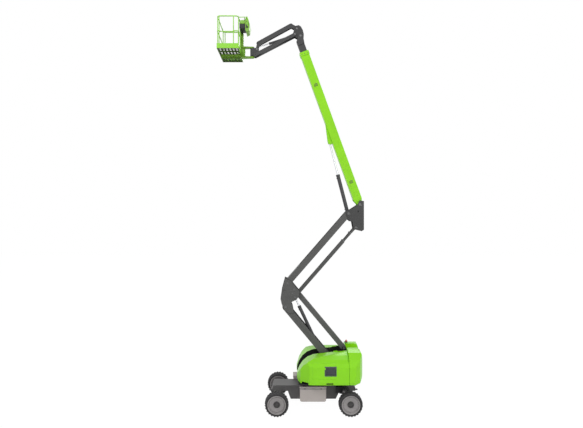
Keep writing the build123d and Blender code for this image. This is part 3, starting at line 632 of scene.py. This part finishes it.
# -------- pins and cylinders
# Pins as (x, z): ends of the tower's links, and the eyes of the rods.
LOWER_LINK_HEAD = (0.094, 4.162)
UPPER_LINK_FOOT, UPPER_LINK_HEAD = (0.120, 3.883), (2.284, 6.367)
TOWER_EYE, LIFT_EYE, JIB_EYE = (0.045, 4.015), (1.369, 9.395), (-1.188, 12.841)
# How far out the sides with pins stand.
TOWER_SIDE, LINK_SIDE, JIB_SIDE = 0.230, 0.120, 0.090
# Each pin's body, its joint or its (x, z), the side that it ends in, and its plate's radius.
HEADS = (
    ("turntable", "tower_raise", TOWER_SIDE, 0.044),
    ("turntable", "lower_link_swing", LINK_SIDE, 0.040),
    ("tower_knuckle", "knuckle_level", TOWER_SIDE, 0.046),
    ("tower_knuckle", "upper_arm_swing", TOWER_SIDE, 0.046),
    ("tower_knuckle", LOWER_LINK_HEAD, TOWER_SIDE, 0.040),
    ("tower_knuckle", "upper_link_swing", TOWER_SIDE, 0.034),
    ("tower_knuckle", TOWER_EYE, TOWER_SIDE, 0.034),
    ("upright", "upright_level", TOWER_SIDE, 0.046),
    ("upright", "boom_raise", TOWER_SIDE, 0.050),
    ("upright", UPPER_LINK_HEAD, TOWER_SIDE, 0.034),
    ("fly_boom", "bracket_level", LINK_SIDE, 0.040),
    ("jib_bracket", "jib_raise", JIB_SIDE, 0.036),
    ("jib_bracket", "jib_link_swing", LINK_SIDE, 0.034),
    ("platform_rotator", "rotator_level", JIB_SIDE, 0.036),
)
HEAD_THICK, HEAD_THIN, HEAD_CHAMFER = 0.009, 0.0045, 0.003
# Where an ear stands, in radii of its plate behind and below the pin.
EAR_BEHIND, EAR_BELOW = 1.15, 0.6
EAR_SECTION, CENTRE_SECTION = ((0, 0.020), (0.006, 0.020)), ((0, 0.012), (0.004, 0.010))


def add_heads():
    """Retaining plates over the ends of the machine's pins, each bolted down by an ear on the tower."""
    for number, (body, place, side, radius) in enumerate(HEADS):
        x, z = pin(place) if isinstance(place, str) else place
        bolted = side == TOWER_SIDE
        thick = HEAD_THICK if bolted else HEAD_THIN
        bm = bmesh.new()
        for hand in (-1, 1):
            out = Vector((0, hand, 0))
            start = Vector((x, hand * (side - 0.001), z))
            turned(bm, ((0, radius), (thick * 0.7, radius), (thick, radius - HEAD_CHAMFER)), start, out, 32)
            if bolted:
                ear = Vector((x + radius * EAR_BEHIND, hand * (side + 0.0005), z - radius * EAR_BELOW))
                turned(bm, EAR_SECTION, ear, out, 20)
                bolt(bm, ear + out * EAR_SECTION[1][0], out, EAR_BOLT)
                turned(bm, CENTRE_SECTION, start + out * thick, out, 16)
        finish_piece("pin_head_%02d" % number, bm, "head_steel", body, 30)


# Each ram's name, its barrel's joint, its rod's eye, the barrel's length, the radii of barrel and stem,
# the eyes' half width and radius, and where the stem starts.
RAMS = (
    ("tower", "tower_cylinder_swing", TOWER_EYE, 1.255, 0.060, 0.028, 0.060, 0.046, 0.56),
    ("lift", "lift_cylinder_swing", LIFT_EYE, 1.440, 0.066, 0.030, 0.044, 0.044, 0.74),
    ("jib", "jib_cylinder_swing", JIB_EYE, 0.985, 0.0385, 0.020, 0.030, 0.046, 0.25),
)
STEM_GAP, BORE_START = 0.0015, 0.022
GLAND_RISE, GLAND_LONG, GLAND_STEP = 0.0045, 0.074, 0.004
COLLAR_BACK, COLLAR_STEP, COLLAR_SHARE = 0.035, 0.005, 1.25
FOOT_BORE, EYE_BORE = 0.027, 0.026
PORT_SECTION = ((0, 0.015), (0.014, 0.015), (0.018, 0.012))
PORT_START, PORT_END, PORT_SINK = 0.16, 0.13, 0.004


def add_eye(bm, place, half, bore, radius):
    """Make a ring round a pin."""
    turned(bm, ((-half, bore), (-half, radius), (half, radius), (half, bore)), place, AXLE, 40, closed=True)


def add_rams():
    """Round barrels with a gland and ports, and bright rods with a forged eye."""
    for name, joint, eye, length, barrel, stem, half, eye_radius, back in RAMS:
        foot, eye = side_point(pin(joint)), side_point(eye)
        way, normal = line_frame(foot, eye)
        far = (eye - foot).length
        bore = stem + STEM_GAP
        bm = bmesh.new()
        gland = barrel + GLAND_RISE
        profile = (
            (eye_radius * 0.72, barrel * 0.7), (eye_radius * 0.9, barrel),
            (length - GLAND_LONG - GLAND_STEP, barrel), (length - GLAND_LONG, gland),
            (length - GLAND_STEP, gland), (length, barrel + 0.001),
            (length, bore), (eye_radius + BORE_START, bore),
        )
        turned(bm, profile, foot, way, 48)
        add_eye(bm, foot, half, FOOT_BORE, eye_radius)
        for along in (PORT_START, length - PORT_END):
            turned(bm, PORT_SECTION, foot + way * along + normal * (barrel - PORT_SINK), normal, 20)
        node = name + "_cylinder"
        finish_piece(name + "_barrel", bm, "cylinder_black", node, 30, (node,))
        bm = bmesh.new()
        collar = far - eye_radius
        profile = (
            (back, stem), (collar - COLLAR_BACK, stem),
            (collar - COLLAR_BACK + COLLAR_STEP, stem * COLLAR_SHARE),
            (far - eye_radius * 0.7, stem * COLLAR_SHARE),
        )
        turned(bm, profile, foot, way, 40)
        add_eye(bm, eye, half, EYE_BORE, eye_radius)
        finish_piece(name + "_stem", bm, "rod_chrome", name + "_rod", 30, (name + "_rod",))


# -------- platform
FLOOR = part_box("platform_floor")
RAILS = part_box("guard_rails")
RAIL_R, POST_R, LOOP_R, ENTRY_R = 0.019, 0.016, 0.0125, 0.015
RAIL_BEND, LOOP_BEND = 0.11, 0.09
TOP_RAIL_Z, MID_RAIL_Z = 13.658, 13.146
RAIL_BACK_X, ENTRY_X = -1.833, -1.997
LOOP_SIDES, LOOP_BAR_X = (-0.625, -0.095), -1.64
LOOP_Z = TOP_RAIL_Z + 0.004
# The loop's path behind the platform's back rail, as (x, z).
LOOP_PATH = (
    (RAIL_BACK_X, TOP_RAIL_Z), (RAIL_BACK_X + 0.08, LOOP_Z), (-1.54, LOOP_Z),
    (-1.50, TOP_RAIL_Z - 0.08), (-1.52, 13.34),
)
RAIL_RETURN, ENTRY_REACH = 0.10, 0.066
CORNER_POST_SHIFT, CORNER_POST_INSET, MIDDLE_POST_Y = 0.06, 0.09, 0.13
POST_FOOT = ((0, 0.0185), (0.020, 0.0185), (0.030, POST_R))
HINGE_SLEEVE = ((-0.018, 0.021), (0.018, 0.021))
END_SLEEVE = ((-0.017, 0.017), (0.004, 0.019), (0.012, 0.019))


def add_rail(name, points, radius, bend=0.05, cyclic=False, stands_for=(), body="platform"):
    """A green pipe of the platform."""
    pipe(name, points, radius, "rail_green", body, bend, cyclic, stands_for)


def add_rails():
    """Round guard rails with bent corners, posts, the loop round the console, and the entry bar."""
    low, high = RAILS
    left, right = low.y + RAIL_R, high.y - RAIL_R
    front, back = low.x + RAIL_R, RAIL_BACK_X
    top, middle, floor = TOP_RAIL_Z, MID_RAIL_Z, FLOOR[1].z
    ring = [(x, y, top) for x, y in ((front, left), (back, left), (back, right), (front, right))]
    add_rail("top_rail", ring, RAIL_R, RAIL_BEND, True, ("guard_rails",))
    run = [
        (ENTRY_X, left, middle), (back, left, middle), (back, right, middle), (front, right, middle),
        (front, left, middle), (front + RAIL_RETURN, left, middle),
    ]
    add_rail("mid_rail", run, RAIL_R, RAIL_BEND)
    corner = right - CORNER_POST_INSET
    posts = [
        (front + CORNER_POST_SHIFT, right), (ENTRY_X, right), (back, corner), (back, MIDDLE_POST_Y),
        (front, corner),
    ]
    posts += [(x, -y) for x, y in posts]
    for number, (x, y) in enumerate(posts):
        add_rail("post_%d" % number, [(x, y, floor), (x, y, top)], POST_R)
    for number, y in enumerate(LOOP_SIDES):
        add_rail("console_loop_%d" % number, [(x, y, z) for x, z in LOOP_PATH], LOOP_R, LOOP_BEND)
    add_rail("console_loop_bar", [(LOOP_BAR_X, y, LOOP_Z) for y in LOOP_SIDES], LOOP_R)
    bm = bmesh.new()
    for x, y in posts:
        turned(bm, POST_FOOT, (x, y, floor), (0, 0, 1), 24)
    finish_piece("post_feet", bm, "rail_green", "platform")
    bar_y = JOINTS["entry_bar_lift"]["pos_m"][1]
    start, end = (ENTRY_X, bar_y, middle), (front + ENTRY_REACH, bar_y, middle)
    add_rail("entry_tube", [start, end], ENTRY_R, stands_for=("entry_bar",), body="entry_bar")
    bm = bmesh.new()
    turned(bm, HINGE_SLEEVE, start, AXLE, 28)
    turned(bm, END_SLEEVE, end, (-1, 0, 0), 24)
    finish_piece("entry_sleeve", bm, "console_dark", "entry_bar")


PUNCH_ROWS, PUNCH_COLUMNS = 6, 12
HOLE_SHARE, HOLE_STEPS = 0.30, 16
PLATE_DEPTHS = (0.001, 0.006)
FRAME_WIDTH = 0.03
BEARER_SHARES, BEARER_HALF = (0.25, 0.5, 0.75), 0.012
BEARER_INSET, BEARER_FOOT, BEARER_TOP = 0.02, 0.004, 0.006


def add_punched_cell(bm, x, y, top, step_x, step_y):
    """Make a square of sheet round a hole."""
    corners = ((1, 1), (-1, 1), (-1, -1), (1, -1))
    outer = [bm.verts.new((x + a * step_x / 2, y + b * step_y / 2, top)) for a, b in corners]
    hole = []
    for index in range(HOLE_STEPS):
        angle = 2 * math.pi * (index + 0.5) / HOLE_STEPS
        across_x, across_y = math.cos(angle) * step_x * HOLE_SHARE, math.sin(angle) * step_y * HOLE_SHARE
        hole.append(bm.verts.new((x + across_x, y + across_y, top)))
    quarter = HOLE_STEPS // 4
    for index in range(4):
        part = [hole[(index * quarter + step) % HOLE_STEPS] for step in range(quarter + 1)]
        bm.faces.new([outer[index]] + part[:quarter])
        bm.faces.new((outer[index], part[quarter - 1], part[quarter], outer[(index + 1) % 4]))


def add_floor_plate():
    """A floor of punched sheet on cross bars, in its frame."""
    low, high = FLOOR
    wide, lid = FRAME_WIDTH, high.z - 0.001
    step_x = (high.x - low.x - 2 * wide) / PUNCH_ROWS
    step_y = (high.y - low.y - 2 * wide) / PUNCH_COLUMNS
    bm = bmesh.new()
    for depth in PLATE_DEPTHS:
        for row in range(PUNCH_ROWS):
            for column in range(PUNCH_COLUMNS):
                x, y = low.x + wide + step_x * (row + 0.5), low.y + wide + step_y * (column + 0.5)
                add_punched_cell(bm, x, y, high.z - depth, step_x, step_y)
    finish_piece("floor_plate", bm, "floor_steel", "platform", 20, ("platform_floor",))
    bm = bmesh.new()
    slab(bm, (low.x, low.y, low.z), (low.x + wide, high.y, lid), 0.003)
    slab(bm, (high.x - wide, low.y, low.z), (high.x, high.y, lid), 0.003)
    slab(bm, (low.x, low.y, low.z), (high.x, low.y + wide, lid), 0.003)
    slab(bm, (low.x, high.y - wide, low.z), (high.x, high.y, lid), 0.003)
    for share in BEARER_SHARES:
        y = low.y + (high.y - low.y) * share
        xs = (low.x + BEARER_INSET, high.x - BEARER_INSET)
        zs = (low.z + BEARER_FOOT, high.z - BEARER_TOP)
        side_slab(bm, xs, zs, y, BEARER_HALF, 0.002)
    finish_piece("floor_frame", bm, "frame_green", "platform")


PANEL_TILT, PANEL_WAY = -30, (-0.4, 0, 1)
SWITCH = ((0, 0.011), (0.012, 0.011), (0.014, 0.004), (0.045, 0.003), (0.050, 0.005), (0.054, 0.003))
LEVER = (
    (0, 0.030), (0.010, 0.026), (0.020, 0.013), (0.075, 0.010),
    (0.085, 0.019), (0.115, 0.020), (0.122, 0.012),
)
STOP_BUTTON = ((0, 0.016), (0.016, 0.016), (0.018, 0.027), (0.030, 0.026), (0.034, 0.018))
SWITCH_YS, LEVER_YS = [-0.53 + number * 0.062 for number in range(5)], (-0.20, -0.27)
# Places on the console's panel: distances behind its front face, and heights.
PANEL_PIVOT, PANEL_X, PANEL_Y, PANEL_Z = (0.10, 13.50), (0.012, 0.19), (-0.58, -0.14), (13.515, 13.540)
SWITCH_PLACE, LEVER_PLACE, BUTTON_PLACE = (0.12, 13.56), (0.10, 13.545), (0.07, 13.53)
BUTTON_Y = -0.56
CHEEK_CUT, CHEEK_RISE, CHEEK_SINK = 0.03, 0.004, 0.002
CHEEK_FRONT, CHEEK_BACK, CHEEK_TOP = 0.012, 0.004, 0.03
FIXING_X, FIXING_Z = (0.03, 0.10), (13.30, 13.42)
FIXING_SHIFT, FIXING_BOLTS_Z = 0.055, (13.26, 13.52)


def add_console():
    """The console's switch panel, levers, stop button and side cheeks, and its shield's fixings."""
    low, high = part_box("control_console")
    bm = bmesh.new()
    tilt = turn_about((low.x + PANEL_PIVOT[0], 0, PANEL_PIVOT[1]), PANEL_TILT, "Y")
    near, far = [(low.x + PANEL_X[end], PANEL_Y[end], PANEL_Z[end]) for end in (0, 1)]
    slab(bm, near, far, 0.006, tilt)
    for y in SWITCH_YS:
        turned(bm, SWITCH, (low.x + SWITCH_PLACE[0], y, SWITCH_PLACE[1]), PANEL_WAY, 14)
    for y in LEVER_YS:
        turned(bm, LEVER, (low.x + LEVER_PLACE[0], y, LEVER_PLACE[1]), PANEL_WAY, 20)
    finish_piece("console_controls", bm, "console_dark", "platform")
    bm = bmesh.new()
    turned(bm, STOP_BUTTON, (low.x + BUTTON_PLACE[0], BUTTON_Y, BUTTON_PLACE[1]), PANEL_WAY, 24)
    finish_piece("stop_button", bm, "beacon_red", "platform")
    bm = bmesh.new()
    x_low, x_high, cut = low.x + CHEEK_FRONT, high.x - CHEEK_BACK, CHEEK_CUT
    z_low, z_high = (low.z + high.z) / 2, high.z - CHEEK_TOP
    cheek = (
        (x_low, z_low), (x_high, z_low), (x_high, z_high - cut),
        (x_high - cut, z_high), (x_low + cut, z_high), (x_low, z_high - cut),
    )
    plate(bm, cheek, low.y - CHEEK_RISE, low.y + CHEEK_SINK, 0.001)
    plate(bm, cheek, high.y - CHEEK_SINK, high.y + CHEEK_RISE, 0.001)
    finish_piece("console_cheeks", bm, "shield_green", "platform")
    low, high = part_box("console_shield")
    bm = bmesh.new()
    side_slab(bm, [low.x + x for x in FIXING_X], FIXING_Z, low.y, 0.004, 0.003)
    for z in FIXING_BOLTS_Z:
        bolt(bm, (low.x + FIXING_SHIFT, low.y - 0.0005, z), (0, -1, 0), SHIELD_BOLT)
        bolt(bm, (low.x + FIXING_SHIFT, high.y + 0.0005, z), (0, 1, 0), SHIELD_BOLT)
    finish_piece("shield_fixings", bm, "console_dark", "platform")


# -------- hoods, chassis and turntable
VENT_X, VENT_Z = (1.154, 1.486), (1.394, 1.646)
SLATS, SLAT_LEAN = 9, 32
SLAT_HALF_DEEP, SLAT_HALF_THICK = 0.013, 0.0018
STAY_SHIFTS = (0.11, 0.222)
STAY_HALF, STAY_SINK, STAY_RISE = 0.003, -0.004, 0.012
SLAT_OUT, SLAT_INSET = 0.004, 0.006
LATCH_X, LATCH_Z = 1.295, 1.105
# The latch's cup and its handle: half width, height limits, distance out and half depth.
LATCH_PARTS = ((0.115, (-0.030, 0.028), 1.005, 0.006), (0.050, (-0.010, 0.016), 1.015, 0.007))


def outer_face(box):
    """How far out the outer side of a box stands."""
    low, high = box
    return max(abs(low.y), abs(high.y))


def add_louvres():
    """Sloping slats on stays in each hood's vent, and the hood's latch."""
    x_low, x_high = VENT_X
    z_low, z_high = VENT_Z
    for side, hand in SIDES:
        face = outer_face(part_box("vent_" + side))
        y = hand * (face + SLAT_OUT)
        bm = bmesh.new()
        for number in range(SLATS):
            z = z_low + (z_high - z_low) * (number + 0.5) / SLATS
            xs, zs = (x_low + SLAT_INSET, x_high - SLAT_INSET), (z - SLAT_HALF_THICK, z + SLAT_HALF_THICK)
            side_slab(bm, xs, zs, y, SLAT_HALF_DEEP, 0.0008, turn_about((0, y, z), -hand * SLAT_LEAN, "X"))
        for shift in STAY_SHIFTS:
            x = x_low + shift
            near, far = hand * face + STAY_SINK, hand * face + STAY_RISE
            slab(bm, (x - STAY_HALF, near, z_low), (x + STAY_HALF, far, z_high), 0.001)
        finish_piece("louvres_" + side, bm, "vent_dark", "hood_" + side)
        bm = bmesh.new()
        for wide, (below, above), out, deep in LATCH_PARTS:
            xs, zs = (LATCH_X - wide, LATCH_X + wide), (LATCH_Z + below, LATCH_Z + above)
            side_slab(bm, xs, zs, hand * out, deep, 0.004)
        finish_piece("latch_" + side, bm, "console_dark", "hood_" + side)


CATCH_SHARES, CATCH_Z = (0.2, 0.8), (0.800, 0.872)
CATCH_BOLT_Z, CATCH_BOLT_SINK = 0.815, 0.006
CATCH_HALF_WIDE, CATCH_HALF_DEEP, CATCH_SINK = 0.022, 0.007, 0.012
FRAME_BOLTS_X, FRAME_BOLTS_Z = (-0.30, -0.10, 1.30, 1.44, 1.58), (0.66, 0.74)
FRAME_SIDE = 0.3305
BEACON_BASE = ((0, 0.052), (0.012, 0.052), (0.022, 0.046), (0.026, 0.040))
BEACON_LENS = ((0, 0.038), (0.012, 0.041), (0.040, 0.039), (0.056, 0.032), (0.0645, 0.018))
LENS_RISE = 0.0245


def add_body_details():
    """The battery lids' catches, bolts on the chassis, and the beacon."""
    for side, hand in SIDES:
        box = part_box("battery_box_" + side)
        low, high = box
        face = outer_face(box)
        bm = bmesh.new()
        for share in CATCH_SHARES:
            x = low.x + (high.x - low.x) * share
            xs = (x - CATCH_HALF_WIDE, x + CATCH_HALF_WIDE)
            side_slab(bm, xs, CATCH_Z, hand * (face - CATCH_SINK), CATCH_HALF_DEEP, 0.003)
            bolt(bm, (x, hand * (face - CATCH_BOLT_SINK), CATCH_BOLT_Z), (0, hand, 0), CATCH_BOLT)
        finish_piece("box_catches_" + side, bm, "head_steel", "chassis")
        bm = bmesh.new()
        for x in FRAME_BOLTS_X:
            for z in FRAME_BOLTS_Z:
                bolt(bm, (x, hand * FRAME_SIDE, z), (0, hand, 0), CHASSIS_BOLT)
        finish_piece("chassis_bolts_" + side, bm, "head_steel", "chassis")
    low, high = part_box("beacon")
    centre = (low + high) / 2
    bm = bmesh.new()
    turned(bm, BEACON_BASE, (centre.x, centre.y, low.z), (0, 0, 1), 36)
    finish_piece("beacon_base", bm, "machine_dark", "turntable")
    bm = bmesh.new()
    turned(bm, BEACON_LENS, (centre.x, centre.y, low.z + LENS_RISE), (0, 0, 1), 40)
    finish_piece("beacon_lens", bm, "beacon_red", "turntable", 40, ("beacon",))


# -------- tower and boom
# Black plates on the sides of knuckle and upright: painted shade of slots.
KNUCKLE_SLOT_SHADE = ((-0.338, 4.160), (-0.196, 4.139), (-0.196, 4.129), (-0.341, 4.149))
UPRIGHT_SLOT_SHADE, UPRIGHT_SLOT_SHADE_SIZE = (2.367, 6.936), (0.017, 0.045)
SLOT_SHADE_SIDES = (0.2305, 0.2325)
CLAMPS = (2.655, 3.02)
CLAMP_TAB = ((-0.022, -0.034), (0.022, -0.034), (0.022, 0.036), (0.006, 0.062), (-0.022, 0.062))
CLAMP_SIDES, CLAMP_BOLT_RISE = (0.1645, 0.1695), 0.046
# The link bars are thick up to the first of these distances, and thin from the second one.
LINK_THICK_END, LINK_THIN_START = 2.62, 2.665
LINK_THICK_HALF, LINK_THIN_HALF, LINK_NECK_HALF = 0.052, 0.028, 0.034
LINK_FOOT_R, LINK_HEAD_R = 0.046, 0.044
LINK_SIDES = (0.128, 0.164)


def arc(centre, radii, steps, parts=8):
    """Points of an oval, at angles counted in parts of a half turn."""
    angles = [math.pi * step / parts for step in steps]
    (x, z), (wide, tall) = centre, radii
    return [(x + wide * math.cos(angle), z + tall * math.sin(angle)) for angle in angles]


def side_plates(bm, outline, sides, edge=0.0):
    """Make the same flat plate on the left and on the right."""
    for hand in (-1, 1):
        plate(bm, outline, hand * sides[0], hand * sides[1], edge)


def add_tower_details():
    """Painted shade of slots on knuckle and upright, the twin upper links, and the clamps on them."""
    bm = bmesh.new()
    # The slots are flat black plates on the sides: painted shade.
    side_plates(bm, KNUCKLE_SLOT_SHADE, SLOT_SHADE_SIDES)
    finish_piece("knuckle_slot_shade", bm, "trough_black", "tower_knuckle")
    bm = bmesh.new()
    side_plates(bm, arc(UPRIGHT_SLOT_SHADE, UPRIGHT_SLOT_SHADE_SIZE, range(16)), SLOT_SHADE_SIDES)
    finish_piece("upright_slot_shade", bm, "trough_black", "upright")
    foot, head = side_point(UPPER_LINK_FOOT), side_point(UPPER_LINK_HEAD)
    way, normal = line_frame(foot, head)
    bm = bmesh.new()
    for along in CLAMPS:
        place = foot + way * along
        for hand in (-1, 1):
            plate(bm, placed(CLAMP_TAB, place, way, normal), hand * CLAMP_SIDES[0], hand * CLAMP_SIDES[1])
            screw = place + normal * CLAMP_BOLT_RISE + Vector((0, hand * CLAMP_SIDES[1], 0))
            bolt(bm, screw, (0, hand, 0), PAD_BOLT)
    finish_piece("link_clamps", bm, "head_steel", "upper_link")
    length = (head - foot).length
    outline = arc((0, 0), (LINK_FOOT_R, LINK_THICK_HALF), range(4, 13))
    edge = [(LINK_THICK_END, LINK_THICK_HALF), (LINK_THIN_START, LINK_THIN_HALF), (length, LINK_NECK_HALF)]
    outline += [(along, -half) for along, half in edge]
    outline += arc((length, 0), (LINK_HEAD_R, LINK_HEAD_R), range(-3, 4))
    outline += edge[::-1]
    bm = bmesh.new()
    side_plates(bm, placed(outline, foot, way, normal), LINK_SIDES, 0.003)
    finish_piece("link_bars", bm, "arm_grey", "upper_link", 30, ("upper_link",))


BOOM_FOOT, BOOM_END = (2.431, 7.180), (0.450, 12.630)
BOOM_PADS = (0.86, 4.55)
PAD_OUTLINE = ((-0.05, -0.055), (0.05, -0.055), (0.07, 0.02), (0.02, 0.075), (-0.05, 0.075))
PAD_SCREWS = ((-0.03, -0.035), (0.035, -0.03), (-0.03, 0.055))
PAD_SIDES = (0.1222, 0.1300)
MOUTH_SCREWS, MOUTH_BACK, MOUTH_SIDE = (-0.11, 0.0, 0.11), 0.06, 0.1365


def add_boom_details():
    """Pads on the boom's sides with their screws, and screws round its mouth."""
    foot, end = side_point(BOOM_FOOT), side_point(BOOM_END)
    way, normal = line_frame(foot, end)
    bm = bmesh.new()
    for along in BOOM_PADS:
        side_plates(bm, placed(PAD_OUTLINE, foot + way * along, way, normal), PAD_SIDES, 0.002)
    finish_piece("boom_pads", bm, "bracket_green", "main_boom")
    bm = bmesh.new()
    for along in BOOM_PADS:
        centre = foot + way * along
        for hand in (-1, 1):
            for a, b in PAD_SCREWS:
                screw = centre + way * a + normal * b + Vector((0, hand * PAD_SIDES[1], 0))
                bolt(bm, screw, (0, hand, 0), PAD_BOLT)
    mouth = foot + way * ((end - foot).length - MOUTH_BACK)
    for rise in MOUTH_SCREWS:
        for hand in (-1, 1):
            screw = mouth + normal * rise + Vector((0, hand * MOUTH_SIDE, 0))
            bolt(bm, screw, (0, hand, 0), MOUTH_BOLT)
    finish_piece("boom_screws", bm, "head_steel", "main_boom")


# -------- trim
# The liner's outline as (distance out, height), and its front and back.
LINER = (
    (0.27, 1.12), (1.046, 1.153), (1.031, 1.637), (0.927, 1.896),
    (0.718, 2.056), (0.478, 2.106), (0.27, 2.106),
)
LINER_X = (1.957, 1.9598)
# The lifting ring's place beside the beacon, and its size.
RING_X, RING_GAP, RING_RISE = 1.985, 0.11, 0.052
RING_R, RING_BAR_R = 0.044, 0.007


def add_tail_details():
    """A liner in the joint between hoods and tail, and the lifting ring beside the beacon."""
    bm = bmesh.new()
    for hand in (-1, 1):
        join_rings(bm, [[bm.verts.new((x, hand * y, z)) for y, z in LINER] for x in LINER_X])
    finish_piece("tail_liner", bm, "hood_green", "turntable", 20)
    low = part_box("beacon")[0]
    bm = bmesh.new()
    ring = arc((0, RING_R), (RING_BAR_R, RING_BAR_R), range(12), 6)
    turned(bm, ring, (RING_X, low.y - RING_GAP, low.z + RING_RISE), AXLE, 40, closed=True)
    finish_piece("lifting_ring", bm, "head_steel", "turntable")


# A hood's side leans in a little up to its shoulder, and more above it.
HOOD_LOW, HOOD_LOW_Z, HOOD_LEAN = 1.060, 1.145, 0.0323
HOOD_SHOULDER, HOOD_SHOULDER_Z, HOOD_TOP_LEAN = 1.044, 1.640, 0.4923
# The vent rim's four bars, as x and z limits.
RIM_BARS = (
    (1.118, 1.522, 1.358, 1.390), (1.118, 1.522, 1.650, 1.682),
    (1.118, 1.150, 1.390, 1.650), (1.490, 1.522, 1.390, 1.650),
)
RIM_SINK, RIM_RISE = -0.003, 0.0095
FLAT = 0.01


def hood_face(z):
    """How far out a hood's side stands at a height."""
    if z <= HOOD_SHOULDER_Z:
        return HOOD_LOW - (z - HOOD_LOW_Z) * HOOD_LEAN
    return HOOD_SHOULDER - (z - HOOD_SHOULDER_Z) * HOOD_TOP_LEAN


def add_hood_trim():
    """A rim round each vent that follows the hood's lean."""
    for side, hand in SIDES:
        bm = bmesh.new()
        for x_low, x_high, z_low, z_high in RIM_BARS:
            verts = []
            for x in (x_low, x_high):
                for z in (z_low, z_high):
                    for rise in (RIM_SINK, RIM_RISE):
                        verts.append(bm.verts.new((x, hand * (hood_face(z) + rise), z)))
            made = bmesh.ops.convex_hull(bm, input=verts)["geom"]
            faces = [item for item in made if isinstance(item, bmesh.types.BMFace)]
            edges = list({line for face in faces for line in face.edges})
            bmesh.ops.dissolve_limit(bm, angle_limit=FLAT, verts=list(bm.verts), edges=edges)
        finish_piece("vent_rim_" + side, bm, "vent_dark", "hood_" + side, 30)


# The seals on a battery box: inset, height limits, distance out, half depth and rounding.
SEALS = ((0.013, (0.812, 0.825), 0.752, 0.003, 0.001), (0.004, (0.851, 0.856), 0.7615, 0.0015, 0.0005))
VALVE_BLOCK_X, VALVE_BLOCK_Z, VALVE_BLOCK_Y = (1.560, 1.800), (0.560, 0.770), 0.375
VALVE_BLOCK_HALF = 0.042
HOSE_ENDS = [1.605 + number * 0.070 for number in range(3)]
BLOCK_BOLTS, BLOCK_BOLT_Z = [1.60 + number * 0.075 for number in range(3)], 0.600
HOSE_R, HOSE_BEND, HOSE_STEP = 0.011, 0.06, 0.02
HOSE_FITTING = ((0, 0.020), (0.030, 0.020), (0.036, 0.012), (0.050, 0.012))


def add_chassis_trim():
    """Seals under the battery lids, and the valve blocks with their hoses beside the rear axle."""
    for side, hand in SIDES:
        low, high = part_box("battery_box_" + side)
        bm = bmesh.new()
        for inset, zs, out, half, edge in SEALS:
            side_slab(bm, (low.x + inset, high.x - inset), zs, hand * out, half, edge)
        finish_piece("box_seal_" + side, bm, "vent_dark", "chassis")
        y = hand * VALVE_BLOCK_Y
        top = VALVE_BLOCK_Z[1]
        bm = bmesh.new()
        side_slab(bm, VALVE_BLOCK_X, VALVE_BLOCK_Z, y, VALVE_BLOCK_HALF, 0.006)
        for number, x in enumerate(HOSE_ENDS):
            turned(bm, HOSE_FITTING, (x, y, top), (0, 0, 1), 18)
            screw = (BLOCK_BOLTS[number], y + hand * VALVE_BLOCK_HALF, BLOCK_BOLT_Z)
            bolt(bm, screw, (0, hand, 0), MOUTH_BOLT)
        finish_piece("valve_block_" + side, bm, "console_dark", "chassis")
        for number, x in enumerate(HOSE_ENDS):
            run = [
                (x, y, 0.800), (x, y, 0.850), (x + 0.16, y, 0.862 - number * HOSE_STEP),
                (x + 0.26, y - hand * 0.02, 0.700), (x + 0.30, y - hand * 0.05, 0.600),
            ]
            name = "axle_hose_%s_%d" % (side, number)
            pipe(name, run, HOSE_R, "console_dark", "chassis", HOSE_BEND)


make_materials()
add_camera()
add_floor()
add_world()
set_view()
add_lights()
dress_nodes()
add_wheels()
add_heads()
add_rams()
add_rails()
add_floor_plate()
add_console()
add_louvres()
add_body_details()
add_tower_details()
add_boom_details()
add_tail_details()
add_hood_trim()
add_chassis_trim()
add_rim_rings()
